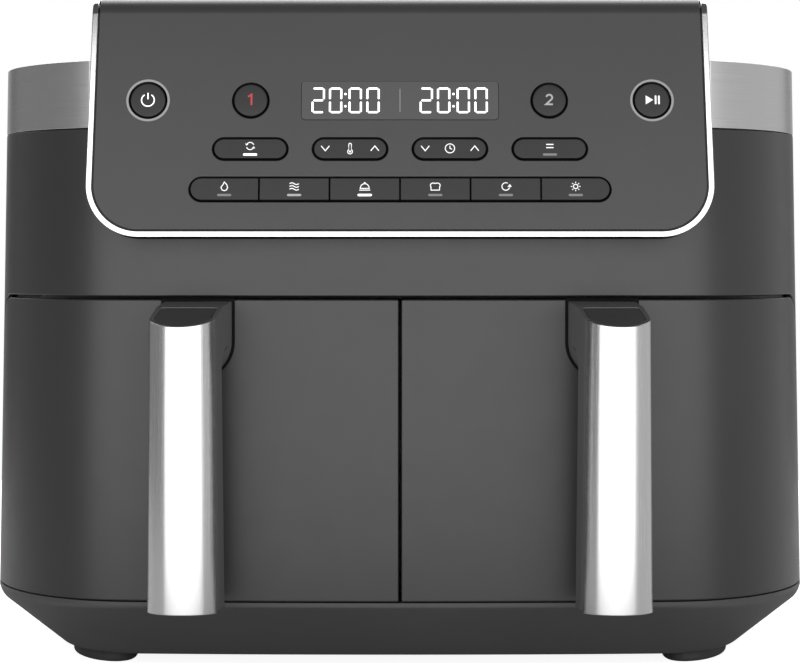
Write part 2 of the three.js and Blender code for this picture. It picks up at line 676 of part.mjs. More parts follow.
function motor(side) {
  const [x, y] = [side * ZONE_X, ZONE_Y];
  const { radius, bottom, top, lugReach, lugHalf, lugThickness } = MOTOR;
  const can = drum(x, y, radius, bottom, top, 20);
  const lugs = block(x - lugReach, x + lugReach, y - lugHalf, y + lugHalf, bottom, bottom + lugThickness);
  return cut(join(can, lugs), drum(x, y, SHAFT_RADIUS + SHAFT_CLEARANCE, bottom - 5, top + 5, 16));
}

function motorDeck() {
  const { bottom, top, front, rear, hole } = DECK;
  const deck = common(bodyLoft(WALL + 2, bottom, top), behind(front), inFrontOf(rear));
  const holes = Object.values(SIDES).map((side) => drum(side * ZONE_X, ZONE_Y, hole, bottom - 2, top + 2, 16));
  return cut(deck, ...holes);
}

function powerBoard() {
  const { half, front, rear, bottom, thickness } = POWER_BOARD;
  const sheet = block(-half, half, front, rear, bottom, bottom + thickness);
  const standing = POWER_BOARD_PARTS.map(([left, right, near, far, top]) =>
    block(left, right, near, far, bottom + 1, top),
  );
  return join(sheet, ...standing);
}

// One board between the liners with a switch for each drawer and its plunger.
function switchBoard() {
  const { half, front, rear, bottom, top } = SWITCH_BOARD;
  const sheet = block(-half, half, front, rear, bottom, top);
  const parts = Object.values(SIDES).flatMap((side) =>
    [SWITCH, PLUNGER].map((box) => sideBlock(side, box.inner, box.outer, box.front, box.rear, box.bottom, box.top)),
  );
  return join(sheet, ...parts);
}

add("motor_deck", motorDeck(), MATERIALS.sheet);
add("power_board", powerBoard(), MATERIALS.board);
add("switch_board", switchBoard(), MATERIALS.board);
for (const [name, side] of Object.entries(SIDES)) {
  const [x, y] = [side * ZONE_X, ZONE_Y];
  add(`${name}_liner`, liner(side), MATERIALS.sheet);
  add(`${name}_heater`, heater(side), MATERIALS.element);
  add(`${name}_fan_guard`, fanGuard(side), MATERIALS.sheet);
  add(`${name}_motor`, motor(side), MATERIALS.motor);
  add(`${name}_motor_shaft`, drum(x, y, SHAFT_RADIUS, SHAFT.bottom, SHAFT.top, 12), MATERIALS.steel);
  const convection = { side, hub: 10, radius: 44, blades: 8, z0: 184, z1: 193, disc: true };
  add(`${name}_convection_fan`, fan(convection), MATERIALS.fan);
  const cooling = { side, hub: 9, radius: 38, blades: 7, z0: 238, z1: 246, disc: false };
  add(`${name}_cooling_fan`, fan(cooling), MATERIALS.dark);
}

// ---------- Drawers ----------

function drawerFront(side) {
  const reach = common(onSide(side, DRAWER_GAP / 2), sideReach(DRAWER_SIDE_END, DRAWER_TOP, DRAWER_CORNER));
  const outer = common(bodyLoft(0, DRAWER_BOTTOM, DRAWER_TOP), reach);
  const room = common(
    bodyLoft(DRAWER_SKIN, DRAWER_BOTTOM + DRAWER_SKIN, DRAWER_TOP - DRAWER_SKIN),
    onSide(side, DRAWER_GAP / 2 + DRAWER_SKIN),
  );
  const behindBack = common(bodyLoft(DRAWER_SKIN, 0, BIG / 2), behind(DRAWER_BACK_FRONT - GAP));
  return cut(outer, room, behindBack);
}

function drawerBack(side) {
  const plate = common(behind(DRAWER_BACK_FRONT), inFrontOf(DRAWER_BACK_REAR), onSide(side, DRAWER_GAP / 2 + GAP));
  return common(bodyLoft(DRAWER_SKIN + 0.4, DRAWER_BOTTOM + GAP, DRAWER_TOP - GAP), plate);
}

// The pan's or the plate's outline in plan, drawn in by an inset.
const panShape = (side, inset) =>
  roundedRectangle(
    (side * (PAN.inner + PAN.outer)) / 2,
    (PAN.front + PAN.rear) / 2,
    PAN.outer - PAN.inner - inset * 2,
    PAN.rear - PAN.front - inset * 2,
    PAN.radius - inset,
  );

const PAN_CORNER_STEPS = 1; // three.js draws a quarter circle in twice as many
const panPoints = (side, inset) => {
  const points = panShape(side, inset).getPoints(PAN_CORNER_STEPS);
  points.pop();
  return points;
};

// A tub whose lower edge is chamfered, with a turned-out rim.
function pan(side) {
  const { bottom, top, wall } = PAN;
  const outer = loft([
    { z: bottom, points: panPoints(side, PAN_FOLD) },
    { z: bottom + PAN_FOLD, points: panPoints(side, PAN_RIM) },
    { z: top, points: panPoints(side, PAN_RIM) },
  ]);
  const hollow = loft([
    { z: bottom + wall, points: panPoints(side, PAN_FOLD + wall * 0.6) },
    { z: bottom + PAN_FOLD + wall * 0.4, points: panPoints(side, PAN_RIM + wall) },
    { z: top + 1, points: panPoints(side, PAN_RIM + wall) },
  ]);
  const rim = extrude(panShape(side, 0), top - PAN_RIM_THICKNESS, top, null, PAN_CORNER_STEPS);
  return cut(join(outer, rim), hollow);
}

const PLATE = {
  clearance: 3.4,
  rows: 9,
  pitch: 21,
  columnX: 37,
  slotHalfLength: 23,
  slotHalfWidth: 2.5,
  fingerHole: 10,
  bumperX: 58,
  bumperY: 92,
  bumperRadius: 4,
};

// The crisper plate: a slotted sheet with a finger hole, on four corner bumpers.
function crisperPlate(side) {
  const [bottom, top] = [PLATE_LEVEL, PLATE_LEVEL + PLATE_THICKNESS];
  const sheet = extrude(panShape(side, PLATE.clearance), bottom, top, null, PAN_CORNER_STEPS);
  const [x, y] = [(side * (PAN.inner + PAN.outer)) / 2, (PAN.front + PAN.rear) / 2];
  const slots = [];
  for (let row = 0; row < PLATE.rows; row++) {
    const cy = y + (row - (PLATE.rows - 1) / 2) * PLATE.pitch;
    const [front, rear] = [cy - PLATE.slotHalfWidth, cy + PLATE.slotHalfWidth];
    for (const column of [-1, 1]) {
      const cx = x + column * PLATE.columnX;
      slots.push(block(cx - PLATE.slotHalfLength, cx + PLATE.slotHalfLength, front, rear, bottom - 1, top + 2));
    }
  }
  const fingerHole = drum(x, y, PLATE.fingerHole, bottom - 1, top + 2, 12);
  const floor = PAN.bottom + PAN.wall + GAP;
  const bumper = (across, along) =>
    drum(x + across * PLATE.bumperX, y + along * PLATE.bumperY, PLATE.bumperRadius, floor, bottom + 1, 8);
  const bumpers = [-1, 1].flatMap((across) => [-1, 1].map((along) => bumper(across, along)));
  return cut(join(sheet, ...bumpers), ...slots, fingerHole);
}

// ---------- Handles ----------

// Handle frame: x across, y outwards from the drawer's face and z up, turned to stand square on the bowed front.
function handleFrame(side) {
  const faceY = FRONT + (HANDLE.x * HANDLE.x) / (2 * BOW_RADIUS);
  const turn = Math.PI + side * HANDLE.skew;
  return new THREE.Matrix4().makeRotationZ(turn).setPosition(side * HANDLE.x, faceY, 0);
}

// The level of its top: nearly flat over the neck, then sloping down to the nose.
function handleTop(w) {
  if (w < HANDLE_BEND) return HANDLE_TOP_REAR + ((HANDLE_TOP_BEND - HANDLE_TOP_REAR) * w) / HANDLE_BEND;
  const slope = (HANDLE_TOP_FRONT - HANDLE_TOP_BEND) / (HANDLE.reach - HANDLE_BEND);
  return HANDLE_TOP_BEND + slope * (w - HANDLE_BEND);
}

// Plan section of the handle from a back line to its round nose, drawn in by an inset.
function handleSection(half, back, inset) {
  const shoulder = HANDLE.reach - HANDLE_NOSE;
  const points = [new THREE.Vector2(half - inset, back), new THREE.Vector2(half - inset, shoulder)];
  for (let i = 1; i < NOSE_STEPS; i++) {
    const turn = (Math.PI * i) / NOSE_STEPS;
    points.push(
      new THREE.Vector2((half - inset) * Math.cos(turn), shoulder + (HANDLE_NOSE - inset) * Math.sin(turn)),
    );
  }
  points.push(new THREE.Vector2(inset - half, shoulder), new THREE.Vector2(inset - half, back));
  return points;
}

const handleLoft = (back, inset) =>
  loft([
    { z: HANDLE_BOTTOM, points: handleSection(HANDLE_HALF_BOTTOM, back, inset) },
    { z: HANDLE_TOP_REAR + HANDLE_SPARE, points: handleSection(HANDLE_HALF_TOP, back, inset) },
  ]);

// A side view drawn in (outwards, up), extruded across the handle.
const acrossHandle = (shape) => extrude(shape, -20, 20, basis([0, 1, 0], [0, 0, 1], [1, 0, 0]), 5);

// Everything below the handle's top, lowered by a drop.
function underTop(drop) {
  const [rear, front] = [-10, HANDLE.reach + 10];
  const top = [front, HANDLE_BEND, rear].map((w) => [w, handleTop(w) - drop]);
  return acrossHandle(polygon([[rear, 0], [front, 0], ...top]));
}

// Straight below and behind, with a quarter oval from the bar's back up to the root.
function handleSide() {
  const bottom = HANDLE_BOTTOM + CORE_LIFT;
  const [front, top] = [HANDLE.reach * 2, DRAWER_TOP * 2];
  const shape = new THREE.Shape();
  shape.moveTo(HANDLE_ROOT, HANDLE_ARCH.top);
  const [across, up] = [HANDLE_BAR_BACK - HANDLE_ROOT, HANDLE_ARCH.top - HANDLE_ARCH.foot];
  shape.absellipse(HANDLE_ROOT, HANDLE_ARCH.foot, across, up, Math.PI / 2, 0, true);
  shape.lineTo(HANDLE_BAR_BACK, bottom);
  shape.lineTo(front, bottom);
  shape.lineTo(front, top);
  shape.lineTo(HANDLE_ROOT, top);
  shape.closePath();
  return shape;
}

function handleCore() {
  const bar = common(handleLoft(HANDLE_ROOT, GAP), inFrontOf(TRIM_BACK - GAP));
  const nose = handleLoft(HANDLE.reach - HANDLE_NOSE - 1, CORE_INSET);
  const capRoom = cut(handleLoft(HANDLE_BEND, CORE_INSET - GAP), underTop(CORE_DROP));
  return cut(common(join(bar, nose), underTop(CAP_DROP), acrossHandle(handleSide())), capRoom);
}

function handleTrim() {
  const back = HANDLE.reach - HANDLE_NOSE - 1;
  const rim = cut(handleLoft(back, 0), handleLoft(back - 1, TRIM_SHEET));
  return common(rim, underTop(CAP_DROP / 2), behind(TRIM_BACK));
}

function handleCap() {
  const plan = handleLoft(HANDLE_BEND + GAP, CORE_INSET);
  return cut(common(plan, underTop(CAP_DROP)), underTop(CORE_DROP - GAP));
}

// The body and a thin layer of air round it, so that a handle's root follows the bowed front.
const nearBody = () => bodyLoft(-2 * GAP, NEAR_BODY_BOTTOM, DRAWER_TOP + WALL);

function placed(piece, matrix) {
  return solid(geometryOf(piece).applyMatrix4(matrix));
}

for (const [name, side] of Object.entries(SIDES)) {
  add(`${name}_drawer_front`, drawerFront(side), MATERIALS.charcoal);
  add(`${name}_drawer_back`, drawerBack(side), MATERIALS.dark);
  add(`${name}_pan`, pan(side), MATERIALS.coated);
  add(`${name}_crisper_plate`, crisperPlate(side), MATERIALS.coated);
  const frame = handleFrame(side);
  add(`${name}_handle_core`, cut(placed(handleCore(), frame), nearBody()), MATERIALS.dark);
  add(`${name}_handle_trim`, placed(handleTrim(), frame), MATERIALS.steel);
  add(`${name}_handle_cap`, placed(handleCap(), frame), MATERIALS.dark);
}

export default object;
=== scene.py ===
"""The looks of a two-drawer air fryer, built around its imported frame.

Shapes are drawn in millimetres and turned into metres when a piece is finished.
"""

import math

import bmesh
import bpy
from mathutils import Matrix, Vector

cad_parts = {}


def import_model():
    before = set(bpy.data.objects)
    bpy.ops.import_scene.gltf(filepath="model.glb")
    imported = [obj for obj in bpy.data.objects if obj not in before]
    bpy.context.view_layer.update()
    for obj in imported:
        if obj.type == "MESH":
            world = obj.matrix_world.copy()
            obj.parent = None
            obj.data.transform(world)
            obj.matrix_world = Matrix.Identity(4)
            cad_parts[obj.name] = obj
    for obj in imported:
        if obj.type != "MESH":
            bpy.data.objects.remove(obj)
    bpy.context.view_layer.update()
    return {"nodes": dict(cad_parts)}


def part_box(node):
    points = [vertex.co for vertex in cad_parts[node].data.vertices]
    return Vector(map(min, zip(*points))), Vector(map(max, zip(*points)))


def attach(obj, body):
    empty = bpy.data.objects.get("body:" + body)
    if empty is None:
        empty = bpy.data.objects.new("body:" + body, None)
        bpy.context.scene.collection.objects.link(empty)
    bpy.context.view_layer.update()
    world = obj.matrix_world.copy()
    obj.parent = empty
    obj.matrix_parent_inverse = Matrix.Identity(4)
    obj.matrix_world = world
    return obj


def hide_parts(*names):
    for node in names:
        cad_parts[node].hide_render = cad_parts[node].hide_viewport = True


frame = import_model()

MM = 0.001
BIG = 400
SIDES = {"left": -1, "right": 1}
SMOOTH_ANGLE = math.radians(35)
HOUSING = "housing"


# ---------- Sizes ----------

def box(node):
    """A CAD node's lowest and highest corner, in millimetres."""
    low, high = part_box(node)
    return low / MM, high / MM


BASE_LOW, BASE_HIGH = box("base_tray")
BAND_LOW, BAND_HIGH = box("steel_band")
DRAWER_LOW, DRAWER_HIGH = box("right_drawer_front")
TRIM_LOW, TRIM_HIGH = box("panel_trim")
VENT_LOW, VENT_HIGH = box("rear_vent")
PAN_LOW, PAN_HIGH = box("right_pan")
PLATE_LOW, PLATE_HIGH = box("right_crisper_plate")

GAP = 0.3
WALL = 3
HALF_WIDTH = BASE_HIGH.x
FRONT = BASE_LOW.y
REAR = BASE_HIGH.y
HEIGHT = box("top_cover")[1].z
FOOT_HEIGHT = BASE_LOW.z
BASE_TOP = BASE_HIGH.z
BAND_BOTTOM = BAND_LOW.z
BAND_TOP = BAND_HIGH.z
DRAWER_BOTTOM = DRAWER_LOW.z
DRAWER_TOP = DRAWER_HIGH.z
DRAWER_SIDE_END = DRAWER_HIGH.y
DRAWER_MIDDLE = DRAWER_LOW.x
DRAWER_BACK = box("right_drawer_back")[0].y - GAP
DRAWER_SKIN = 3
DRAWER_CORNER = 20
BAY_GAP = 1
LEDGE_BOTTOM = DRAWER_TOP + 1.5
LEDGE_THICKNESS = 2.5
SHOULDER_INSET = 1.5
BAND_THICKNESS = 1.2
PANEL_ROOM = 0.4

# The body in plan
BOW_RADIUS = 1610
CORNER_WIDTH = 71
CORNER_DEPTH = 106
REAR_RADIUS = 60
SIDE_TAPER = 0.02

# The base's chamfer: how far it comes in, and where it starts at the front and at the sides
CHAMFER_SIDE = 35
CHAMFER_FRONT = 50
CHAMFER_REAR = 22
CHAMFER_CORNER_WIDTH = 38
CHAMFER_CORNER_DEPTH = 42
CHAMFER_TOP = 34.6
CHAMFER_SIDE_DROP = 2.6
CHAMFER_EDGE = 0.9
CHAMFER_EDGE_SIDE = 3.6
UNDERSIDE_EDGE = 4
LIP_PROUD = 0.05
LIP_HEIGHT = 1.7

# The control panel
LEAN = math.radians(14)
PANEL_FRONT = TRIM_LOW.y
PANEL_BOTTOM = TRIM_LOW.z
PANEL_HALF_BOTTOM = TRIM_HIGH.x
PANEL_HALF_TOP = PANEL_HALF_BOTTOM - 1.5
PANEL_SEAM = -104
PANEL_BACK = -112
PANEL_ROLL = 9.5
PANEL_CORNER = 24
TRIM_WIDTH = 2.7
TRIM_DEPTH = 2
TRIM_GROOVE = 0.65
BUTTON_GAP = 0.9
CAP_BACK = -9
POCKET_FLOOR = -3.1

# The saddle behind the panel
SADDLE_LEVEL = 112
SADDLE_BACK = 150
SADDLE_BACK_TOP = 293

# The feet, the rear vent and the cord's gland
FOOT_LENGTH = 60
FOOT_WIDTH = 29
FOOT_TURN = math.radians(19.6)
FOOT_EDGE = 2.6
VENT_SLOTS = 14
VENT_SLOT_WIDTH = 6
VENT_BLADES = 9
VENT_MARGIN = 8
VENT_OVERLAP_SIDE = 6
VENT_OVERLAP_END = 5
SCREW_INSET = 4
GLAND_COLLAR = 9
GLAND_HOLE = 6.5
GLAND_BARREL = 6.2
GLAND_BORE = 4

# The handles
HANDLE_X = 92
HANDLE_REACH = 48.7
HANDLE_SKEW = math.radians(7)
HANDLE_TOP_REAR = 174.8
HANDLE_TOP_BEND = 172.6
HANDLE_TOP_FRONT = 164.3
HANDLE_BEND = 20
HANDLE_BOTTOM = box("right_handle_trim")[0].z
HANDLE_HALF_TOP = 15.2
HANDLE_HALF_BOTTOM = 16.6
HANDLE_NOSE = 15
HANDLE_BAR_BACK = 22.5
HANDLE_ROOT = -3
NECK_BOTTOM = 156
ARCH_FOOT = 144
ROOT_BOTTOM = 140
ROOT_FLARE = 0.4
NECK_TAPER = 0.05
CORE_LIFT = 1.2
CORE_SKIN = 1.7
TRIM_BACK = 38
TRIM_SKIN = 1.4
# How far the near-black band of painted shadow round each handle's root stands proud
SHADOW_LINE_PROUD = 0.6

# Levels well below and well above the neck
NECK_LOW = 100
NECK_HIGH = 200

# How far each part of the handle lies below its top
TRIM_DROP = 0.2
CORE_DROP = 0.3
CAP_DROP = 0.7
CAP_FOOT_DROP = 2.5
RECESS_DROP = 2.6
RIM_DROP = 2.9

# The handle's cap
CAP_SIDE_INSET = 2.6
CAP_NOSE_INSET = 2.2
CAP_REAR = HANDLE_BEND + 0.4
CAP_CORNER = 2
CAP_FIT = 0.25

# The pans and their crisper plates
PAN_WALL = 1.8
PAN_EDGE = 8
PAN_CORNER = 26
PAN_RIM = 2
PLATE_INSET = 3.4
PLATE_SHEET = 2
PLATE_SKIRT = 6
PLATE_HOLE = 10

# The printed symbols and the clocks
INK = 0.12
LINE = 0.42
DIGIT_WIDTH = 6.1
DIGIT_HEIGHT = 12.2
SEGMENT_WIDTH = 0.95
SEGMENT_TIP = 0.4
DIGIT_STEPS = (0, 7.9, 16.8, 24.9)
COLON_STEP = 15.4
COLON_RISES = (3.3, 9.1)


# ---------- Solids ----------

def solid(points, faces):
    """A closed solid in millimetres, as a working object."""
    mesh = bpy.data.meshes.new("work")
    mesh.from_pydata([tuple(p) for p in points], [], faces)
    work = bmesh.new()
    work.from_mesh(mesh)
    bmesh.ops.recalc_face_normals(work, faces=work.faces)
    work.to_mesh(mesh)
    work.free()
    piece = bpy.data.objects.new("work", mesh)
    bpy.context.scene.collection.objects.link(piece)
    return piece


def loft(rings):
    """A solid skinned over closed rings of points, each with as many points as the others."""
    count = len(rings[0])
    faces = [tuple(range(count)), tuple(range((len(rings) - 1) * count, len(rings) * count))]
    for level in range(len(rings) - 1):
        for i in range(count):
            a = level * count + i
            b = level * count + (i + 1) % count
            faces.append((a, b, b + count, a + count))
    return solid([p for ring in rings for p in ring], faces)


def modify(piece, kind, **settings):
    """Runs one modifier and keeps its result as the mesh."""
    modifier = piece.modifiers.new(kind, kind)
    for name, value in settings.items():
        setattr(modifier, name, value)
    graph = bpy.context.evaluated_depsgraph_get()
    mesh = bpy.data.meshes.new_from_object(piece.evaluated_get(graph))
    piece.modifiers.clear()
    piece.data = mesh
    return piece


def combine(piece, tools, operation):
    for tool in tools:
        modify(piece, "BOOLEAN", operation=operation, solver="EXACT", object=tool)
        bpy.data.objects.remove(tool)
    return piece


def join(piece, *others):
    return combine(piece, others, "UNION")


def cut(piece, *tools):
    return combine(piece, tools, "DIFFERENCE")


def common(piece, *others):
    return combine(piece, others, "INTERSECT")


def collect(solids):
    """Separate solids as one object, with nothing cut or joined."""
    work = bmesh.new()
    for piece in solids:
        work.from_mesh(piece.data)
        bpy.data.objects.remove(piece)
    mesh = bpy.data.meshes.new("work")
    work.to_mesh(mesh)
    work.free()
    piece = bpy.data.objects.new("work", mesh)
    bpy.context.scene.collection.objects.link(piece)
    return piece


def basis(x, y, z, origin=(0, 0, 0)):
    return Matrix((
        (x[0], y[0], z[0], origin[0]),
        (x[1], y[1], z[1], origin[1]),
        (x[2], y[2], z[2], origin[2]),
        (0, 0, 0, 1),
    ))


UPRIGHT = Matrix.Identity(4)
ACROSS = basis((0, 1, 0), (0, 0, 1), (1, 0, 0))
FORWARD = basis((1, 0, 0), (0, 0, 1), (0, -1, 0))
REARWARD = basis((-1, 0, 0), (0, 0, 1), (0, 1, 0))
FACE = basis(
    (1, 0, 0),
    (0, math.sin(LEAN), math.cos(LEAN)),
    (0, -math.cos(LEAN), math.sin(LEAN)),
    (0, PANEL_FRONT, PANEL_BOTTOM),
)


def prism(outline, start, end, matrix=UPRIGHT):
    """An outline drawn in a matrix's x and y, extruded from start to end along its z."""
    return loft([[matrix @ Vector((u, v, w)) for u, v in outline] for w in (start, end)])


def rectangle(x0, x1, y0, y1):
    return [(x0, y0), (x1, y0), (x1, y1), (x0, y1)]


def block(x0, x1, y0, y1, z0, z1):
    return prism(rectangle(x0, x1, y0, y1), z0, z1)


def behind(y):
    return block(-BIG, BIG, y, BIG, -BIG, BIG)


def in_front_of(y):
    return block(-BIG, BIG, -BIG, y, -BIG, BIG)


def arc(cx, cy, rx, ry, start, end, steps):
    """Points of an elliptical arc between two angles in degrees."""
    points = []
    for i in range(steps + 1):
        turn = math.radians(start + (end - start) * i / steps)
        points.append((cx + rx * math.cos(turn), cy + ry * math.sin(turn)))
    return points


def oval(cx, cy, rx, ry, steps):
    return arc(cx, cy, rx, ry, 0, 360, steps)[:-1]


def disc(cx, cy, radius, steps=64):
    return oval(cx, cy, radius, radius, steps)


def bend(start, corner, end, t):
    """A point on the curve that leaves start towards a corner and arrives at end."""
    return start * (1 - t) ** 2 + corner * 2 * t * (1 - t) + end * t ** 2


def rounded_rectangle(cx, cy, width, height, radius, steps=12):
    hw, hh = width / 2 - radius, height / 2 - radius
    corners = ((hw, hh, 0), (-hw, hh, 90), (-hw, -hh, 180), (hw, -hh, 270))
    points = []
    for x, y, start in corners:
        points += arc(cx + x, cy + y, radius, radius, start, start + 90, steps)
    return points


def ring_at(outline, z):
    return [(x, y, z) for x, y in outline]


# ---------- The body's own curves ----------

def plan_outline(half, front, rear, corner_width, corner_depth, rear_radius):
    """Plan outline, anticlockwise from above: bowed front, elliptical front corners, round rear corners."""
    bow_steps, corner_steps, rear_steps = 20, 36, 18
    flat = half - corner_width

    def bow(x):
        return x * x / (2 * BOW_RADIUS)

    right = [(flat * i / bow_steps, front + bow(flat * i / bow_steps)) for i in range(bow_steps + 1)]
    for i in range(1, corner_steps + 1):
        turn = math.pi / 2 * i / corner_steps
        x = flat + corner_width * math.sin(turn)
        bowed = bow(flat) + (bow(x) - bow(flat)) * math.cos(turn)
        right.append((x, front + bowed + corner_depth * (1 - math.cos(turn))))
    for i in range(rear_steps + 1):
        turn = math.pi / 2 * i / rear_steps
        right.append((half - rear_radius * (1 - math.cos(turn)), rear - rear_radius * (1 - math.sin(turn))))
    left = [(-x, y) for x, y in reversed(right[1:])]
    return right + left


def body_outline(inset, z):
    return plan_outline(
        half=HALF_WIDTH - SIDE_TAPER * (z - BASE_TOP) - inset,
        front=FRONT + inset,
        rear=REAR - inset,
        corner_width=CORNER_WIDTH - inset,
        corner_depth=CORNER_DEPTH - inset,
        rear_radius=REAR_RADIUS - inset,
    )


def chamfer_outline(inset):
    return plan_outline(
        half=HALF_WIDTH - CHAMFER_SIDE - inset,
        front=FRONT + CHAMFER_FRONT + inset,
        rear=REAR - CHAMFER_REAR - inset,
        corner_width=CHAMFER_CORNER_WIDTH - inset,
        corner_depth=CHAMFER_CORNER_DEPTH - inset,
        rear_radius=REAR_RADIUS - CHAMFER_REAR - inset,
    )


def body_loft(inset, z0, z1):
    return loft([ring_at(body_outline(inset, z), z) for z in (z0, z1)])


def side_reach(end, top, radius):
    """Everything in front of a side end and below a level, with a round upper rear corner."""
    corner = arc(end - radius, top - radius, radius, radius, 0, 90, 20)
    return prism([(-BIG, 0), (end, 0)] + corner + [(-BIG, top)], -BIG, BIG, ACROSS)


def panel_profile(inset):
    """The panel's side view, drawn in by an inset: leaning face, round roll, flat top."""
    roll_z = HEIGHT - PANEL_ROLL
    face_z = roll_z + PANEL_ROLL * math.sin(LEAN)
    roll_y = PANEL_FRONT + (face_z - PANEL_BOTTOM) * math.tan(LEAN) + PANEL_ROLL * math.cos(LEAN)
    low = PANEL_BOTTOM - 8
    low_y = PANEL_FRONT + (low - PANEL_BOTTOM) * math.tan(LEAN) + inset / math.cos(LEAN)
    past = 1 if inset > 0 else 0
    roll = arc(roll_y, roll_z, PANEL_ROLL - inset, PANEL_ROLL - inset, 90, 180 - math.degrees(LEAN), 20)
    return [
        (low_y, low),
        (PANEL_BACK + past, low),
        (PANEL_BACK + past, BAND_TOP),
        (PANEL_SEAM + past, BAND_TOP),
        (PANEL_SEAM + past, HEIGHT - inset),
    ] + roll


def panel_outline(inset):
    """The panel's front view, drawn in by an inset: rounded lower corners and slightly tapered sides."""
    top = HEIGHT + 10
    low, high = PANEL_HALF_BOTTOM - inset, PANEL_HALF_TOP - inset
    radius = PANEL_CORNER - inset
    corner_z = PANEL_BOTTOM + PANEL_CORNER
    left = arc(-low + radius, corner_z, radius, radius, 180, 270, 20)
    right = arc(low - radius, corner_z, radius, radius, 270, 360, 20)
    return [(high, top), (-high, top)] + left + right


def profile_prism(inset):
    """The panel's side view, extruded across its whole width."""
    reach = PANEL_HALF_BOTTOM + 5
    return prism(panel_profile(inset), -reach, reach, ACROSS)


def outline_prism(inset):
    """The panel's front view, extruded from inside the housing to well in front of it."""
    inside, outside = 60, 200
    return prism(panel_outline(inset), inside, outside, FORWARD)


# ---------- Materials ----------

class Nodes:
    """A material's node tree, with short ways to add nodes to it."""

    def __init__(self, name):
        self.material = bpy.data.materials.new(name)
        self.material.use_nodes = True
        self.tree = self.material.node_tree
        self.shader = self.tree.nodes["Principled BSDF"]
        self.place = self.add("ShaderNodeTexCoord").outputs["Object"]

    def add(self, kind, **settings):
        node = self.tree.nodes.new(kind)
        for name, value in settings.items():
            setattr(node, name, value)
        return node

    def link(self, source, target):
        self.tree.links.new(source, target)

    def stretched(self, scale):
        """The object's own coordinates, scaled along each axis."""
        mapping = self.add("ShaderNodeMapping")
        mapping.inputs["Scale"].default_value = scale
        self.link(self.place, mapping.inputs["Vector"])
        return mapping.outputs["Vector"]

    def noise(self, scale, detail=3, roughness=0.55, vector=None):
        """Noise whose scale is counted in features per metre."""
        node = self.add("ShaderNodeTexNoise")
        node.inputs["Scale"].default_value = scale
        node.inputs["Detail"].default_value = detail
        node.inputs["Roughness"].default_value = roughness
        self.link(vector or self.place, node.inputs["Vector"])
        return node.outputs["Fac"]

    def spread(self, value, low, high, start=0.3, stop=0.7):
        """A value that runs from low to high while the given one runs from start to stop."""
        node = self.add("ShaderNodeMapRange")
        node.inputs["From Min"].default_value = start
        node.inputs["From Max"].default_value = stop
        node.inputs["To Min"].default_value = low
        node.inputs["To Max"].default_value = high
        self.link(value, node.inputs["Value"])
        return node.outputs["Result"]

    def mottle(self, value, color, share):
        """Colours the surface from a little darker to a little lighter than a colour."""
        ramp = self.add("ShaderNodeValToRGB")
        ramp.color_ramp.elements[0].position = 0.3
        ramp.color_ramp.elements[1].position = 0.7
        ramp.color_ramp.elements[0].color = [c * (1 - share) for c in color] + [1]
        ramp.color_ramp.elements[1].color = [c * (1 + share) for c in color] + [1]
        self.link(value, ramp.inputs["Fac"])
        self.link(ramp.outputs["Color"], self.shader.inputs["Base Color"])

    def rough(self, value, low, high):
        self.link(self.spread(value, low, high), self.shader.inputs["Roughness"])

    def bump(self, value, depth):
        """Bump of a real depth in metres."""
        node = self.add("ShaderNodeBump")
        node.inputs["Distance"].default_value = depth
        self.link(value, node.inputs["Height"])
        self.link(node.outputs["Normal"], self.shader.inputs["Normal"])

    def set(self, **values):
        for name, value in values.items():
            self.shader.inputs[name.replace("_", " ")].default_value = value


def grey(level):
    """A linear grey."""
    return (level, level, level)


def surface(name, color, share, tone, marks, rough, grain=None, **settings):
    """A surface with uneven tone, uneven gloss and a fine bump.

    Tone and marks are noise as (features per metre, detail); grain has a depth in metres as well.
    """
    nodes = Nodes(name)
    nodes.mottle(nodes.noise(*tone), color, share)
    nodes.rough(nodes.noise(*marks), *rough)
    if grain:
        nodes.bump(nodes.noise(*grain[:2]), grain[2])
    nodes.set(**settings)
    return nodes.material


def plastic(name, level, roughness, grain=0.00002, specular=0.5):
    """Moulded plastic: a fine spark-eroded grain, faint clouds of tone and a few handling marks."""
    rough = (roughness - 0.015, roughness + 0.02)
    skin = (2600, 2, grain)
    return surface(name, grey(level), 0.05, (14, 5), (90, 4), rough, skin, Specular_IOR_Level=specular)


def brushed(name, level, roughness, scale, depth=0.000004):
    """Brushed metal: long fine scratches along the axes whose scale is small."""
    nodes = Nodes(name)
    lines = nodes.noise(1, detail=5, roughness=0.7, vector=nodes.stretched(scale))
    nodes.mottle(lines, grey(level), 0.05)
    nodes.rough(lines, roughness - 0.04, roughness + 0.05)
    nodes.bump(lines, depth)
    nodes.set(Metallic=1.0)
    return nodes.material


def polished(name, level, roughness):
    """Plated or polished metal with faint hazy patches."""
    rough = (roughness, roughness + 0.05)
    return surface(name, grey(level), 0.02, (60, 4), (60, 4), rough, (700, 2, 0.000002), Metallic=1.0)


def coating():
    """Dark non-stick coating: an orange-peel skin with fine pale specks."""
    nodes = Nodes("nonstick_coating")
    specks = nodes.noise(1900, detail=2)
    nodes.mottle(nodes.spread(specks, 0.3, 0.75, 0.55, 0.8), grey(0.028), 0.45)
    nodes.rough(nodes.noise(160, detail=3), 0.32, 0.44)
    nodes.bump(nodes.noise(900, detail=3), 0.00002)
    nodes.set(Metallic=0.25)
    return nodes.material


def printed(name, color, glow=0.0):
    """Ink or a lit legend: a slightly uneven colour that may glow."""
    glowing = {"Emission_Color": (*color, 1), "Emission_Strength": glow}
    return surface(name, color, 0.03, (900, 3), (900, 2), (0.4, 0.5), **glowing)


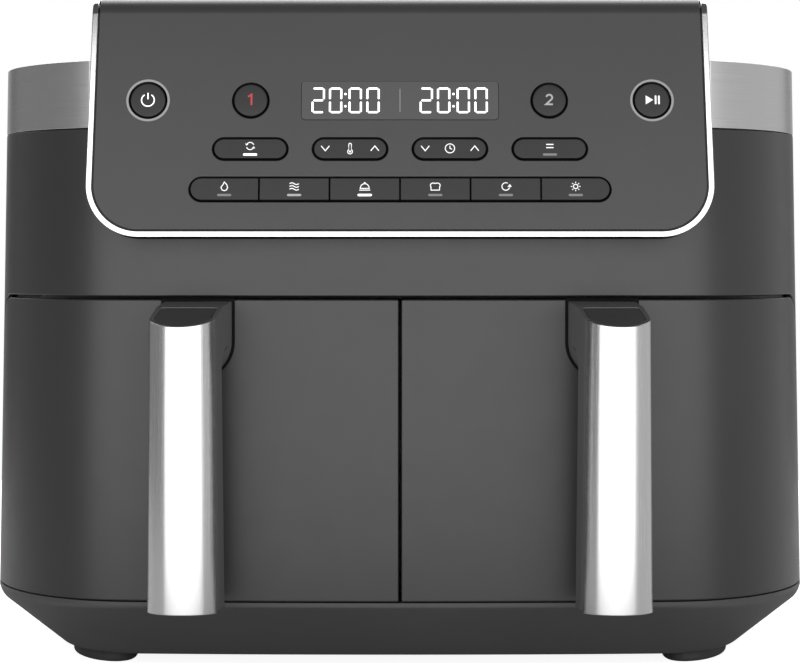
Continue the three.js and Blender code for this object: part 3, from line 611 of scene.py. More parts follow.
def circuit_board():
    """Green solder mask over a pattern of copper lands."""
    nodes = Nodes("circuit_board")
    cells = nodes.add("ShaderNodeTexVoronoi", feature="DISTANCE_TO_EDGE")
    cells.inputs["Scale"].default_value = 260
    nodes.link(nodes.place, cells.inputs["Vector"])
    tracks = nodes.spread(cells.outputs["Distance"], 0.3, 0.7, 0.05, 0.09)
    nodes.mottle(tracks, (0.014, 0.1, 0.035), 0.5)
    nodes.rough(nodes.noise(400), 0.3, 0.45)
    nodes.bump(tracks, 0.00003)
    return nodes.material


# The window has a thin coat. The heating element is dulled and browned by heat.
LOOKS = (
    plastic("charcoal_plastic", 0.024, 0.36),
    # A lighter copy of the housing plastic for the base's lip: painted light.
    plastic("lit_lip_plastic", 0.05, 0.45),
    # A lighter copy of the housing plastic, with less shine, for the base tray and its downward-facing
    # chamfer: painted light.
    plastic("lit_base_plastic", 0.08, 0.5, specular=0.2),
    plastic("panel_plastic", 0.039, 0.36, grain=0.000008),
    plastic("dark_plastic", 0.055, 0.5),
    plastic("handle_plastic", 0.1, 0.45),
    plastic("button_plastic", 0.011, 0.45, grain=0.00001),
    plastic("ring_plastic", 0.3, 0.4, grain=0.000006),
    # A near-black copy of the dark plastic for the gaps round the buttons and round the handles' roots:
    # painted shade.
    plastic("painted_shade_plastic", 0.003, 0.7, specular=0.1),
    surface(
        "display_glass", grey(0.048), 0.03, (30, 3), (200, 2), (0.3, 0.34), (500, 1, 0.000001),
        Coat_Weight=0.15, Coat_Roughness=0.2,
    ),
    brushed("brushed_steel", 0.6, 0.3, (30, 30, 5200)),
    brushed("handle_steel", 0.62, 0.24, (5200, 5200, 30), depth=0.0000012),
    polished("chrome_trim", 0.82, 0.1),
    surface("rubber", grey(0.036), 0.2, (60, 4), (300, 3), (0.62, 0.8), (1600, 3, 0.00004)),
    coating(),
    brushed("sheet_metal", 0.42, 0.34, (2200, 40, 40)),
    surface(
        "heating_element", (0.12, 0.1, 0.085), 0.35, (120, 6), (300, 4), (0.38, 0.55), (1200, 3, 0.00002),
        Metallic=0.9,
    ),
    polished("fan_metal", 0.55, 0.28),
    polished("motor_metal", 0.3, 0.35),
    circuit_board(),
    printed("legend", grey(0.82), 0.25),
    printed("legend_lit", grey(0.95), 0.7),
    printed("legend_dim", grey(0.2)),
    printed("legend_grey", grey(0.4)),
    printed("legend_red", (0.4, 0.035, 0.045), 0.25),
)
# Blender numbers a name that the frame already uses, so the number is left off here.
MATERIALS = {material.name.split(".")[0]: material for material in LOOKS}


# ---------- Finished pieces ----------

def finish(piece, name, body, look, slot=None, replaces=(), bevel=0.6, segments=3, bevel_angle=32):
    """Rounds the edges, shades the mesh, turns it into metres and puts it on its body."""
    work = bmesh.new()
    work.from_mesh(piece.data)
    bmesh.ops.remove_doubles(work, verts=work.verts, dist=0.01)
    bmesh.ops.dissolve_degenerate(work, edges=work.edges, dist=0.01)
    work.to_mesh(piece.data)
    work.free()
    if bevel:
        modify(
            piece, "BEVEL", width=bevel, segments=segments, limit_method="ANGLE",
            angle_limit=math.radians(bevel_angle), use_clamp_overlap=False,
        )
    piece.data.transform(Matrix.Scale(MM, 4))
    piece.data.shade_smooth()
    piece.data.set_sharp_from_angle(angle=SMOOTH_ANGLE)
    modify(piece, "WEIGHTED_NORMAL", keep_sharp=True, weight=80)
    piece.data.materials.clear()
    piece.data.materials.append(MATERIALS[look])
    piece.name = name
    piece.data.name = name
    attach(piece, body)
    for node in replaces:
        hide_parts(node)
    return piece


def stand_in(piece, node, body, look, **options):
    """A finer form of one CAD node."""
    return finish(piece, node + "_fine", body, look, replaces=(node,), **options)


# ---------- Housing ----------

def chamfer_edges():
    """Round the base: the chamfer's upper corner, its slope, its lower corner and the edge's size."""
    edges = []
    for (x, y), (bottom_x, bottom_y) in zip(body_outline(0, BASE_TOP), chamfer_outline(0)):
        sideways = min(1, abs(x) / HALF_WIDTH) ** 4
        corner = Vector((x, y, CHAMFER_TOP - CHAMFER_SIDE_DROP * sideways))
        end = Vector((bottom_x, bottom_y, FOOT_HEIGHT))
        edges.append((corner, (end - corner).normalized(), end, CHAMFER_EDGE + CHAMFER_EDGE_SIDE * sideways))
    return edges


def base_tray():
    """The tray: an upright edge, a soft corner, the chamfer, and a round edge to its underside."""
    steps = 6
    edges = chamfer_edges()
    rings = [ring_at(body_outline(0, BASE_TOP), BASE_TOP)]
    for i in range(steps + 1):
        ring = []
        for corner, down, _, size in edges:
            above = corner + Vector((0, 0, min(size, BASE_TOP - 0.2 - corner.z)))
            ring.append(bend(above, corner, corner + down * size, i / steps))
        rings.append(ring)
    for i in range(steps + 1):
        ring = []
        for _, down, end, _ in edges:
            inward = Vector((-end.x, -end.y, 0)).normalized()
            ring.append(bend(end - down * UNDERSIDE_EDGE, end, end + inward * UNDERSIDE_EDGE, i / steps))
        rings.append(ring)
    deck = CHAMFER_TOP - GAP
    hollow = loft([
        ring_at(chamfer_outline(WALL + 2), FOOT_HEIGHT + WALL),
        ring_at(body_outline(WALL + 1, BASE_TOP), deck),
    ])
    mouth = common(body_loft(WALL + 1, deck - 1, BASE_TOP + 1), behind(box("right_liner")[0].y))
    return cut(loft(rings), hollow, mouth)


def base_lip():
    """The thin upright lip above the chamfer, in a lighter copy of the housing's plastic: painted light."""
    band = body_loft(-LIP_PROUD, BASE_TOP - LIP_HEIGHT, BASE_TOP - 0.1)
    return cut(band, body_loft(0.4, BASE_TOP - LIP_HEIGHT - 0.3, BASE_TOP))


def main_shell():
    """The wall round the body, open at the front for the drawers and cut out for the panel."""
    bottom = BASE_TOP + GAP
    shoulder = BAND_BOTTOM - GAP
    top = BAND_TOP - WALL - GAP
    outer = join(body_loft(0, bottom, shoulder), body_loft(SHOULDER_INSET, shoulder - 1, top))
    walls = cut(outer, body_loft(WALL, bottom - 1, top + 1))
    ledge = body_loft(1, LEDGE_BOTTOM, LEDGE_BOTTOM + LEDGE_THICKNESS)
    ledge = common(ledge, in_front_of(box("front_frame")[0].y))
    bay = side_reach(DRAWER_SIDE_END + BAY_GAP, LEDGE_BOTTOM, DRAWER_CORNER + BAY_GAP)
    shell = cut(join(walls, ledge), bay, outline_prism(-PANEL_ROOM))
    vent_hole = block(
        VENT_LOW.x + VENT_OVERLAP_SIDE, VENT_HIGH.x - VENT_OVERLAP_SIDE,
        REAR - 10, BIG,
        VENT_LOW.z + VENT_OVERLAP_END, VENT_HIGH.z - VENT_OVERLAP_END,
    )
    return cut(shell, vent_hole, gland_rod(GLAND_HOLE, REAR - 10, REAR + 10))


def steel_band():
    ring = body_loft(0, BAND_BOTTOM, BAND_TOP)
    return cut(ring, body_loft(BAND_THICKNESS, BAND_BOTTOM - 1, BAND_TOP + 1), outline_prism(-PANEL_ROOM))


def saddle_profile(inset):
    """The raised saddle's side view: a flat top that curves down to an upright back."""
    past = 1 if inset else 0
    front = PANEL_SEAM + GAP - past
    bottom = BAND_TOP - WALL - past
    top = HEIGHT - inset
    rear = SADDLE_BACK - inset
    start = Vector((SADDLE_LEVEL - inset, top))
    corner = Vector((rear - 4, top))
    end = Vector((rear, SADDLE_BACK_TOP))
    steps = 16
    curve = [bend(end, corner, start, i / steps) for i in range(steps + 1)]
    return [(front, bottom), (rear, bottom)] + curve + [(front, top)]


def top_cover():
    """The lid inside the band, with the raised saddle that runs back from the panel."""
    shoulders = body_loft(SHOULDER_INSET, BAND_TOP - WALL, BAND_TOP)
    saddle = prism(saddle_profile(0), -PANEL_HALF_TOP, PANEL_HALF_TOP, ACROSS)
    half = PANEL_HALF_TOP - WALL
    hollow = prism(saddle_profile(WALL), -half, half, ACROSS)
    reach = PANEL_HALF_BOTTOM + 1
    panel_room = block(-reach, reach, -BIG, PANEL_SEAM + GAP, 0, BIG)
    return cut(join(shoulders, saddle), hollow, panel_room)


def rear_vent():
    """A grille plate with upright slots."""
    centre = (VENT_LOW + VENT_HIGH) / 2
    width, height = VENT_HIGH.x - VENT_LOW.x, VENT_HIGH.z - VENT_LOW.z
    plate = prism(rounded_rectangle(-centre.x, centre.z, width, height, 6), VENT_LOW.y, VENT_HIGH.y, REARWARD)
    pitch = (width - 2 * VENT_MARGIN) / VENT_SLOTS
    for i in range(VENT_SLOTS):
        x = VENT_LOW.x + VENT_MARGIN + pitch * (i + 0.5)
        slot = rounded_rectangle(-x, centre.z, VENT_SLOT_WIDTH, height - 2 * VENT_MARGIN, 2.8, 8)
        plate = cut(plate, prism(slot, VENT_LOW.y - 1, VENT_HIGH.y + 1, REARWARD))
    return plate


def vent_screen():
    """Leaning blades behind the grille's slots."""
    blades = []
    low, high = VENT_LOW.z + VENT_MARGIN, VENT_HIGH.z - VENT_MARGIN
    for i in range(VENT_BLADES):
        z = low + (high - low) * (i + 0.5) / VENT_BLADES
        profile = [(REAR - 4.5, z - 2.6), (REAR - 3.7, z - 3), (REAR - 0.7, z + 2.4), (REAR - 1.5, z + 2.8)]
        blades.append(prism(profile, VENT_LOW.x + VENT_MARGIN, VENT_HIGH.x - VENT_MARGIN, ACROSS))
    return collect(blades)


def gland_rod(radius, start, end):
    """A round rod on the gland's axis, between two levels along y."""
    low, high = box("cord_gland")
    centre = (low + high) / 2
    return prism(disc(-centre.x, centre.z, radius), start, end, REARWARD)


def cord_gland():
    barrel = gland_rod(GLAND_BARREL, box("cord_gland")[0].y, REAR + 1)
    whole = join(gland_rod(GLAND_COLLAR, REAR + GAP, REAR + 3), barrel)
    return cut(whole, gland_rod(GLAND_BORE, REAR - 20, REAR + 20))


def foot(node):
    """An oval rubber foot: straight sides, then a round edge down to its flat underside."""
    low, high = box(node)
    centre = (low + high) / 2
    angle = math.pi / 2 + math.copysign(1, centre.x * centre.y) * FOOT_TURN
    spin = Matrix.Translation((centre.x, centre.y, 0)) @ Matrix.Rotation(angle, 4, "Z")

    def ring(inset, z):
        outline = oval(0, 0, FOOT_LENGTH / 2 - inset, FOOT_WIDTH / 2 - inset, 72)
        return [spin @ Vector(p) for p in ring_at(outline, z)]

    steps = 5
    rings = []
    for i in range(steps + 1):
        rise = math.radians(90 * i / steps)
        rings.append(ring(FOOT_EDGE * (1 - math.sin(rise)), FOOT_EDGE * (1 - math.cos(rise))))
    rings.append(ring(0, high.z))
    return loft(rings)


def screw(x, y, z, matrix=UPRIGHT):
    """A pan head screw with a cross recess, its head standing out along the matrix's z."""
    outline = ((3.2, 0), (3.2, 0.8), (2.9, 1.4), (2.2, 1.8))
    head = loft([ring_at(disc(0, 0, radius, 28), level) for radius, level in outline])
    slot = join(block(-1.8, 1.8, -0.35, 0.35, 0.9, 3), block(-0.35, 0.35, -1.8, 1.8, 0.8, 3.1))
    head = cut(head, slot)
    head.data.transform(Matrix.Translation((x, y, z)) @ matrix)
    return head


def vent_screws():
    screws = []
    for x in (VENT_LOW.x + SCREW_INSET, VENT_HIGH.x - SCREW_INSET):
        for z in (VENT_LOW.z + SCREW_INSET, VENT_HIGH.z - SCREW_INSET):
            screws.append(screw(x, VENT_HIGH.y - 2, z, REARWARD))
    return collect(screws)


# ---------- Panel contents ----------

def face_box(node):
    """A panel node's middle (u, v), width and height on the leaning face, and its front level."""
    to_face = FACE.inverted()
    points = [to_face @ (v.co / MM) for v in frame["nodes"][node].data.vertices]
    u0, u1 = min(p.x for p in points), max(p.x for p in points)
    v0, v1 = min(p.y for p in points), max(p.y for p in points)
    return (u0 + u1) / 2, (v0 + v1) / 2, u1 - u0, v1 - v0, max(p.z for p in points)


ROUND_BUTTONS = ("power_button", "zone_1_button", "zone_2_button", "start_button")
RINGED_BUTTONS = ("power_button", "start_button")
PILLS = ("sync_button", "temperature_rocker", "time_rocker", "match_button")
FUNCTIONS = [f"function_button_{i}" for i in range(1, 7)]


def pocket_shape(node):
    """The outline of a button's hole in the panel."""
    u, v, width, height, _ = face_box(node)
    if node in ROUND_BUTTONS:
        return disc(u, v, width / 2 + BUTTON_GAP)
    return rounded_rectangle(u, v, width + 2 * BUTTON_GAP, height + 2 * BUTTON_GAP, height / 2 + BUTTON_GAP)


def row_shape(grow):
    """The outline round all the function buttons."""
    first, last = face_box(FUNCTIONS[0]), face_box(FUNCTIONS[-1])
    left, right = first[0] - first[2] / 2, last[0] + last[2] / 2
    height = first[3] + 2 * grow
    return rounded_rectangle((left + right) / 2, first[1], right - left + 2 * grow, height, height / 2, 16)


def display_shape(grow):
    u, v, width, height, _ = face_box("display_window")
    return rounded_rectangle(u, v, width + 2 * grow, height + 2 * grow, 1.5 + grow, 6)


def control_panel():
    """The leaning shell, with a rebate for the trim and holes for the buttons and the window."""
    body = common(profile_prism(0), outline_prism(0))
    hollow = common(profile_prism(WALL), outline_prism(WALL + 1))
    rebate = cut(common(profile_prism(-1), outline_prism(-1)), outline_prism(TRIM_WIDTH + TRIM_GROOVE))
    seat = cut(rebate, profile_prism(TRIM_DEPTH + GAP))
    shapes = [pocket_shape(node) for node in ROUND_BUTTONS + PILLS]
    shapes += [row_shape(BUTTON_GAP), display_shape(GAP / 2)]
    return cut(body, hollow, seat, *[prism(shape, -8, 3, FACE) for shape in shapes])


def panel_trim():
    """The bright rim along the panel's sides and bottom."""
    rim = cut(common(profile_prism(0), outline_prism(0)), outline_prism(TRIM_WIDTH))
    return cut(rim, profile_prism(TRIM_DEPTH))


def pocket_floor():
    """Dark plates behind the buttons, which show as the black line round each: painted shade, near-black for
    the shade in the gaps.
    """
    shapes = [pocket_shape(node) for node in ROUND_BUTTONS + PILLS] + [row_shape(BUTTON_GAP)]
    plates = []
    for shape in shapes:
        middle = sum((Vector(p) for p in shape), Vector((0, 0))) / len(shape)
        grown = [tuple(middle + (Vector(p) - middle) * 1.01) for p in shape]
        plates.append(prism(grown, POCKET_FLOOR - 0.8, POCKET_FLOOR, FACE))
    return collect(plates)


def round_cap(node):
    """A round button with a soft edge and a slightly crowned face."""
    u, v, width, _, front = face_box(node)
    radius = width / 2
    edge, crown, steps = 0.6, 0.12, 4
    outline = [(radius, CAP_BACK), (radius, front - edge)]
    for i in range(1, steps + 1):
        turn = math.radians(90 * i / steps)
        outline.append((radius - edge * (1 - math.cos(turn)), front - edge * (1 - math.sin(turn)) - crown))
    outline.append((radius * 0.45, front))
    return loft([[FACE @ Vector(p) for p in ring_at(disc(u, v, r), w)] for r, w in outline])


def pill_cap(node):
    u, v, width, height, front = face_box(node)
    return prism(rounded_rectangle(u, v, width, height, height / 2, 16), CAP_BACK, front, FACE)


def function_cap(index):
    """One cap of the row: the row's outline between two seams."""
    u, _, width, _, front = face_box(FUNCTIONS[index])
    left = u - width / 2 - (1 if index == 0 else 0)
    right = u + width / 2 + (1 if index == len(FUNCTIONS) - 1 else 0)
    between = prism(rectangle(left, right, 0, 80), CAP_BACK - 1, front + 1, FACE)
    return common(prism(row_shape(0), CAP_BACK, front, FACE), between)


def patch(outline, level):
    """A flat shape on the panel's face, standing just proud of a level."""
    return prism(outline, level - INK, level + INK, FACE)


def stroke(points, level, width=LINE, closed=False):
    """A flat ribbon along a line of points on the panel's face, standing just proud of a level."""
    count = len(points)
    line = [Vector(p) for p in points]
    left, right = [], []
    for i, p in enumerate(line):
        before = line[i - 1] if closed or i else p
        after = line[(i + 1) % count] if closed or i < count - 1 else p
        along_in = (p - before).normalized() if (p - before).length else (after - p).normalized()
        along_out = (after - p).normalized() if (after - p).length else along_in
        normal = Vector((-along_in.y - along_out.y, along_in.x + along_out.x)).normalized()
        lean = max(0.35, normal.dot(Vector((-along_in.y, along_in.x))))
        left.append(p + normal * width / 2 / lean)
        right.append(p - normal * width / 2 / lean)
    if not closed:
        return patch(left + right[::-1], level)
    verts, faces = [], []
    for w in (level - INK, level + INK):
        verts += [FACE @ Vector((*p, w)) for p in left + right]
    deep = 2 * count
    for i in range(count):
        j = (i + 1) % count
        faces += [
            (i, j, count + j, count + i),
            (deep + i, deep + j, deep + count + j, deep + count + i),
            (i, j, deep + j, deep + i),
            (count + i, count + j, deep + count + j, deep + count + i),
        ]
    return solid(verts, faces)


def bar(u, v, width, height, level, round_ends=True):
    radius = height / 2 * (0.95 if round_ends else 0.2)
    return patch(rounded_rectangle(u, v, width, height, radius, 5), level)


def power_symbol(u, v, level):
    ring = arc(u, v - 0.1, 2.9, 2.9, 122, 418, 36)
    return [stroke(ring, level, 0.5), stroke([(u, v + 0.3), (u, v + 3.3)], level, 0.5)]


def play_pause_symbol(u, v, level):
    triangle = [(u - 2.9, v - 2.1), (u - 2.9, v + 2.1), (u + 0.5, v)]
    return [patch(triangle, level)] + [bar(u + x, v, 0.8, 4.2, level, False) for x in (1.6, 3.1)]


def digit_one(u, v, level):
    return [stroke([(u - 1.2, v + 1.5), (u + 0.35, v + 2.5), (u + 0.35, v - 2.5)], level, 0.85)]


def digit_two(u, v, level):
    head = arc(u, v + 1.05, 1.35, 1.4, 165, -25, 14)
    return [stroke(head + [(u - 1.45, v - 2.1), (u + 1.6, v - 2.1)], level, 0.8)]


def chevron(u, v, level, way):
    rise = 1.15 * way
    return [stroke([(u - 1.85, v - rise), (u, v + rise), (u + 1.85, v - rise)], level, 0.45)]


def thermometer(u, v, level):
    tip = arc(u, v + 1.8, 0.6, 0.6, 180, 0, 8)[1:]
    stem = [(u - 0.6, v - 0.7), (u - 0.6, v + 1.8)] + tip + [(u + 0.6, v - 0.7)]
    bulb = arc(u, v - 1.5, 1.1, 1.1, 55, -235, 20)
    return [stroke(stem + bulb, level, 0.4, closed=True), patch(disc(u, v - 1.5, 0.5, 16), level)]


def clock(u, v, level):
    hands = [(u, v + 1.25), (u, v), (u + 0.95, v - 0.4)]
    return [stroke(disc(u, v, 2.1, 36), level, closed=True), stroke(hands, level)]


def turning_arrows(u, v, level):
    shapes = []
    for start in (20, 200):
        shapes.append(stroke(arc(u, v, 1.7, 1.7, start, start + 125, 14), level))
        tip = math.radians(start + 150)
        ahead = Vector((-math.sin(tip), math.cos(tip)))
        out = Vector((math.cos(tip), math.sin(tip)))
        end = Vector((u, v)) + out * 1.7
        back = end - ahead * 0.75
        shapes.append(patch([back + out * 0.75, end + ahead * 0.15, back - out * 0.75], level))
    return shapes


def equals(u, v, level):
    return [bar(u, v + rise, 3.4, 0.5, level) for rise in (0.75, -0.75)]


def flame(u, v, level):
    outer = [(u, v + 2.1), (u + 1.1, v + 0.8), (u + 1.5, v - 0.5), (u + 1.0, v - 1.6), (u, v - 2.0)]
    outer += [(u - 1.0, v - 1.6), (u - 1.5, v - 0.5), (u - 1.1, v + 0.3), (u - 0.6, v + 0.9)]
    return [stroke(outer, level, closed=True)]


def air_waves(u, v, level):
    shapes = []
    steps = 18
    for rise in (-1.3, 0, 1.3):
        wave = []
        for i in range(steps + 1):
            wave.append((u - 2.1 + 4.2 * i / steps, v + rise + 0.42 * math.sin(math.tau * i / steps)))
        shapes.append(stroke(wave, level))
    return shapes


def cloche(u, v, level):
    dome = stroke(arc(u, v - 0.9, 2.0, 2.2, 0, 180, 18), level, closed=True)
    return [dome, bar(u, v - 1.7, 5, 0.42, level), bar(u, v + 1.75, 0.8, 0.6, level)]


def loaf(u, v, level):
    top = arc(u - 0.9, v + 0.5, 1.3, 1.1, 215, 60, 10) + arc(u + 0.9, v + 0.5, 1.3, 1.1, 120, -35, 10)
    return [stroke([(u - 1.9, v - 1.7)] + top + [(u + 1.9, v - 1.7)], level, closed=True)]


def reheat_arrow(u, v, level):
    head = [(u + 0.8, v - 0.2), (u + 2.7, v - 0.2), (u + 1.75, v + 1.15)]
    return [stroke(arc(u, v, 1.75, 1.75, 60, 345, 26), level), patch(head, level)]


def sun(u, v, level):
    shapes = [stroke(disc(u, v, 1.0, 22), level, 0.4, closed=True)]
    for i in range(8):
        turn = math.tau * i / 8
        ray = [(u + r * math.cos(turn), v + r * math.sin(turn)) for r in (1.55, 2.2)]
        shapes.append(stroke(ray, level, 0.38))
    return shapes


def segment(start, end, level):
    """One bar of a clock's digit, with pointed ends."""
    start, end = Vector(start), Vector(end)
    along = (end - start).normalized()
    tip = along * SEGMENT_TIP
    aside = Vector((along.y, -along.x)) * SEGMENT_WIDTH / 2
    return patch([start - tip, start + aside, end + aside, end + tip, end - aside, start - aside], level)


def seven_segments(u, v, level, digit):
    """One digit of seven bars, its lower left corner at (u, v)."""
    lit = {"2": "abged", "0": "abcdef"}[digit]
    edge, half = SEGMENT_WIDTH / 2, DIGIT_HEIGHT / 2
    inner = edge + 0.3
    across = {"a": DIGIT_HEIGHT - edge, "g": half, "d": edge}
    upright = {
        "f": (edge, half, DIGIT_HEIGHT), "b": (DIGIT_WIDTH - edge, half, DIGIT_HEIGHT),
        "e": (edge, 0, half), "c": (DIGIT_WIDTH - edge, 0, half),
    }
    shapes = []
    for name in lit:
        if name in across:
            y, margin = v + across[name], inner + 0.35
            shapes.append(segment((u + margin, y), (u + DIGIT_WIDTH - margin, y), level))
        else:
            x, bottom, top = upright[name]
            margin = inner + 0.1
            shapes.append(segment((u + x, v + bottom + margin), (u + x, v + top - margin), level))
    return shapes


def clock_digits(left, v, level):
    """Four digits and a colon, from a left edge."""
    shapes = []
    for step, digit in zip(DIGIT_STEPS, "2000"):
        shapes += seven_segments(left + step, v, level, digit)
    return shapes + [patch(disc(left + COLON_STEP, v + rise, 0.55, 16), level) for rise in COLON_RISES]


def panel_pieces():
    stand_in(control_panel(), "control_panel", HOUSING, "panel_plastic", bevel=0.35)
    stand_in(panel_trim(), "panel_trim", HOUSING, "chrome_trim", bevel=0.4)
    # The plates behind the buttons are near-black: painted shade in the gaps round the buttons.
    finish(pocket_floor(), "button_tray", HOUSING, "painted_shade_plastic", slot="dark_plastic", bevel=0)
    window = prism(display_shape(0.1), -2.2, -0.03, FACE)
    stand_in(window, "display_window", HOUSING, "display_glass", bevel=0.06)
    for node in ROUND_BUTTONS:
        stand_in(round_cap(node), node, node, "button_plastic", bevel=0)
    for node in PILLS:
        stand_in(pill_cap(node), node, node, "button_plastic", bevel=0.55, segments=4)
    for index, node in enumerate(FUNCTIONS):
        stand_in(function_cap(index), node, node, "button_plastic", bevel=0.3)
    for node in RINGED_BUTTONS:
        u, v, width, _, _ = face_box(node)
        inner = width / 2 + BUTTON_GAP
        ring = cut(prism(disc(u, v, inner + 1.1), -0.6, 0.3, FACE), prism(disc(u, v, inner), -1, 1, FACE))
        name = node.replace("button", "ring")
        finish(ring, name, HOUSING, "ring_plastic", slot="button_plastic", bevel=0.2)


def legend_pieces():
    """Symbols and indicator bars, each on the button it belongs to."""
    def mark(name, node, shapes, look):
        finish(collect(shapes), name, node, look, slot="button_plastic", bevel=0)

    symbols = (
        ("power_symbol", "power_button", power_symbol, "legend_lit"),
        ("start_symbol", "start_button", play_pause_symbol, "legend"),
        ("zone_1_digit", "zone_1_button", digit_one, "legend_red"),
        ("zone_2_digit", "zone_2_button", digit_two, "legend_grey"),
        ("temperature_symbol", "temperature_rocker", thermometer, "legend"),
        ("time_symbol", "time_rocker", clock, "legend"),
    )
    for name, node, draw, look in symbols:
        u, v, _, _, front = face_box(node)
        mark(name, node, draw(u, v, front), look)
    for node in ("temperature_rocker", "time_rocker"):
        u, v, _, _, front = face_box(node)
        arrows = chevron(u - 11.2, v, front, -1) + chevron(u + 11.2, v, front, 1)
        mark(node.replace("rocker", "arrows"), node, arrows, "legend")
    symbol_rise, lamp_rise = 1.1, -2.9
    rows = (
        ("sync_button", turning_arrows, "legend_lit"),
        ("match_button", equals, "legend_dim"),
        (FUNCTIONS[0], flame, "legend_dim"),
        (FUNCTIONS[1], air_waves, "legend_grey"),
        (FUNCTIONS[2], cloche, "legend_lit"),
        (FUNCTIONS[3], loaf, "legend_dim"),
        (FUNCTIONS[4], reheat_arrow, "legend_dim"),
        (FUNCTIONS[5], sun, "legend_dim"),
    )
    for node, draw, lamp in rows:
        u, v, _, _, front = face_box(node)
        mark(node.replace("button", "symbol"), node, draw(u, v + symbol_rise, front), "legend")
        mark(node.replace("button", "lamp"), node, [bar(u, v + lamp_rise, 6.4, 1.05, front)], lamp)
    u, v, _, _, front = face_box("display_window")
    level = front + 0.04
    bottom = v - DIGIT_HEIGHT / 2
    clocks = clock_digits(u - 40.2, bottom, level) + clock_digits(u + 8.9, bottom, level)
    finish(collect(clocks), "display_digits", HOUSING, "legend_lit", slot="display_glass", bevel=0)
    line = rectangle(u - 0.25, u + 0.25, v - 5.5, v + 5.5)
    divider = prism(line, level - INK, level + INK / 2, FACE)
    finish(divider, "display_divider", HOUSING, "legend_dim", slot="display_glass", bevel=0)


# ---------- Drawers ----------

def half_space(side, x):
    """Everything further out to one side than a distance from the middle."""
    low, high = (-BIG, -x) if side < 0 else (x, BIG)
    return block(low, high, -BIG, BIG, -BIG, BIG)


def drawer_front(side):
    """A hollow front that follows the body's curve and wraps round its corner."""
    reach = common(half_space(side, DRAWER_MIDDLE), side_reach(DRAWER_SIDE_END, DRAWER_TOP, DRAWER_CORNER))
    outer = common(body_loft(0, DRAWER_BOTTOM, DRAWER_TOP), reach)
    room = common(
        body_loft(DRAWER_SKIN, DRAWER_BOTTOM + DRAWER_SKIN, DRAWER_TOP - DRAWER_SKIN),
        half_space(side, DRAWER_MIDDLE + DRAWER_SKIN),
    )
    behind_back = common(body_loft(DRAWER_SKIN, 0, BIG / 2), behind(DRAWER_BACK))
    return cut(outer, room, behind_back)


def pan_centre(side):
    return side * (PAN_LOW.x + PAN_HIGH.x) / 2, (PAN_LOW.y + PAN_HIGH.y) / 2


def pan_outline(side, inset):
    x, y = pan_centre(side)
    width, depth = PAN_HIGH.x - PAN_LOW.x - 2 * inset, PAN_HIGH.y - PAN_LOW.y - 2 * inset
    return rounded_rectangle(x, y, width, depth, PAN_CORNER - inset, 12)


def pan(side):
    """A pressed tub: round floor edge, upright walls and a rolled rim."""
    steps = 6

    def tub(shrink, floor, top):
        edge = PAN_EDGE - shrink * 0.5
        rings = []
        for i in range(steps + 1):
            turn = math.radians(90 * i / steps)
            outline = pan_outline(side, 1 + shrink + edge * (1 - math.sin(turn)))
            rings.append(ring_at(outline, floor + edge * (1 - math.cos(turn))))
        rings.append(ring_at(pan_outline(side, 1 + shrink), top))
        return loft(rings)

    rim = prism(pan_outline(side, 0), PAN_HIGH.z - PAN_RIM, PAN_HIGH.z)
    outer = join(tub(0, PAN_LOW.z, PAN_HIGH.z), rim)
    return cut(outer, tub(PAN_WALL, PAN_LOW.z + PAN_WALL, PAN_HIGH.z + 1))


def crisper_plate(side):
    """A slotted plate with a finger hole and a turned-down edge."""
    top = PLATE_HIGH.z
    x, y = pan_centre(side)
    sheet = prism(pan_outline(side, PLATE_INSET), top - PLATE_SHEET, top)
    skirt = cut(
        prism(pan_outline(side, PLATE_INSET), top - PLATE_SKIRT, top - 1),
        prism(pan_outline(side, PLATE_INSET + 1.5), top - PLATE_SKIRT - 1, top - PLATE_SHEET + 0.1),
    )
    shapes = []
    for row in range(-4, 5):
        for column in (-1, 1):
            shapes.append(rounded_rectangle(x + column * 37, y + row * 21, 46, 5, 2.4, 6))
    shapes.append(disc(x, y, PLATE_HOLE, 40))
    return cut(join(sheet, skirt), collect([prism(shape, top - 8, top + 4) for shape in shapes]))


def plate_bumpers(side):
    """Four rubber bumpers under the plate's corners."""
    x, y = pan_centre(side)
    outline = ((3.2, PLATE_LOW.z), (4, PLATE_LOW.z + 1), (4, PLATE_HIGH.z - PLATE_SHEET - 0.05))
    bumpers = []
    for across in (-58, 58):
        for along in (-92, 92):
            rings = [ring_at(disc(x + across, y + along, radius, 28), z) for radius, z in outline]
            bumpers.append(loft(rings))
    return collect(bumpers)


# ---------- Handles ----------

def handle_frame(side):
    """Handle frame: x across, y outwards from the drawer's face and z up."""
    face_y = FRONT + HANDLE_X ** 2 / (2 * BOW_RADIUS)
    turn = Matrix.Rotation(math.pi + side * HANDLE_SKEW, 4, "Z")
    return Matrix.Translation((side * HANDLE_X, face_y, 0)) @ turn


def handle_top(w):
    """The level of its top: nearly flat over the neck, then sloping down to the nose."""
    if w < HANDLE_BEND:
        return HANDLE_TOP_REAR + (HANDLE_TOP_BEND - HANDLE_TOP_REAR) * w / HANDLE_BEND
    slope = (HANDLE_TOP_FRONT - HANDLE_TOP_BEND) / (HANDLE_REACH - HANDLE_BEND)
    return HANDLE_TOP_BEND + slope * (w - HANDLE_BEND)


def handle_section(half, back, inset):
    """The handle in plan: square behind, with a half oval nose."""
    shoulder = HANDLE_REACH - HANDLE_NOSE
    nose = arc(0, shoulder, half - inset, HANDLE_NOSE - inset, 0, 180, 36)
    return [(half - inset, back)] + nose + [(inset - half, back)]


def handle_loft(back, inset):
    return loft([
        ring_at(handle_section(HANDLE_HALF_BOTTOM, back, inset), HANDLE_BOTTOM),
        ring_at(handle_section(HANDLE_HALF_TOP, back, inset), HANDLE_TOP_REAR + 5),
    ])


def under_top(drop):
    """Everything more than a distance below the handle's top."""
    top = [(w, handle_top(w) - drop) for w in (70, HANDLE_BEND, -10)]
    return prism([(-10, 0), (70, 0)] + top, -20, 20, ACROSS)


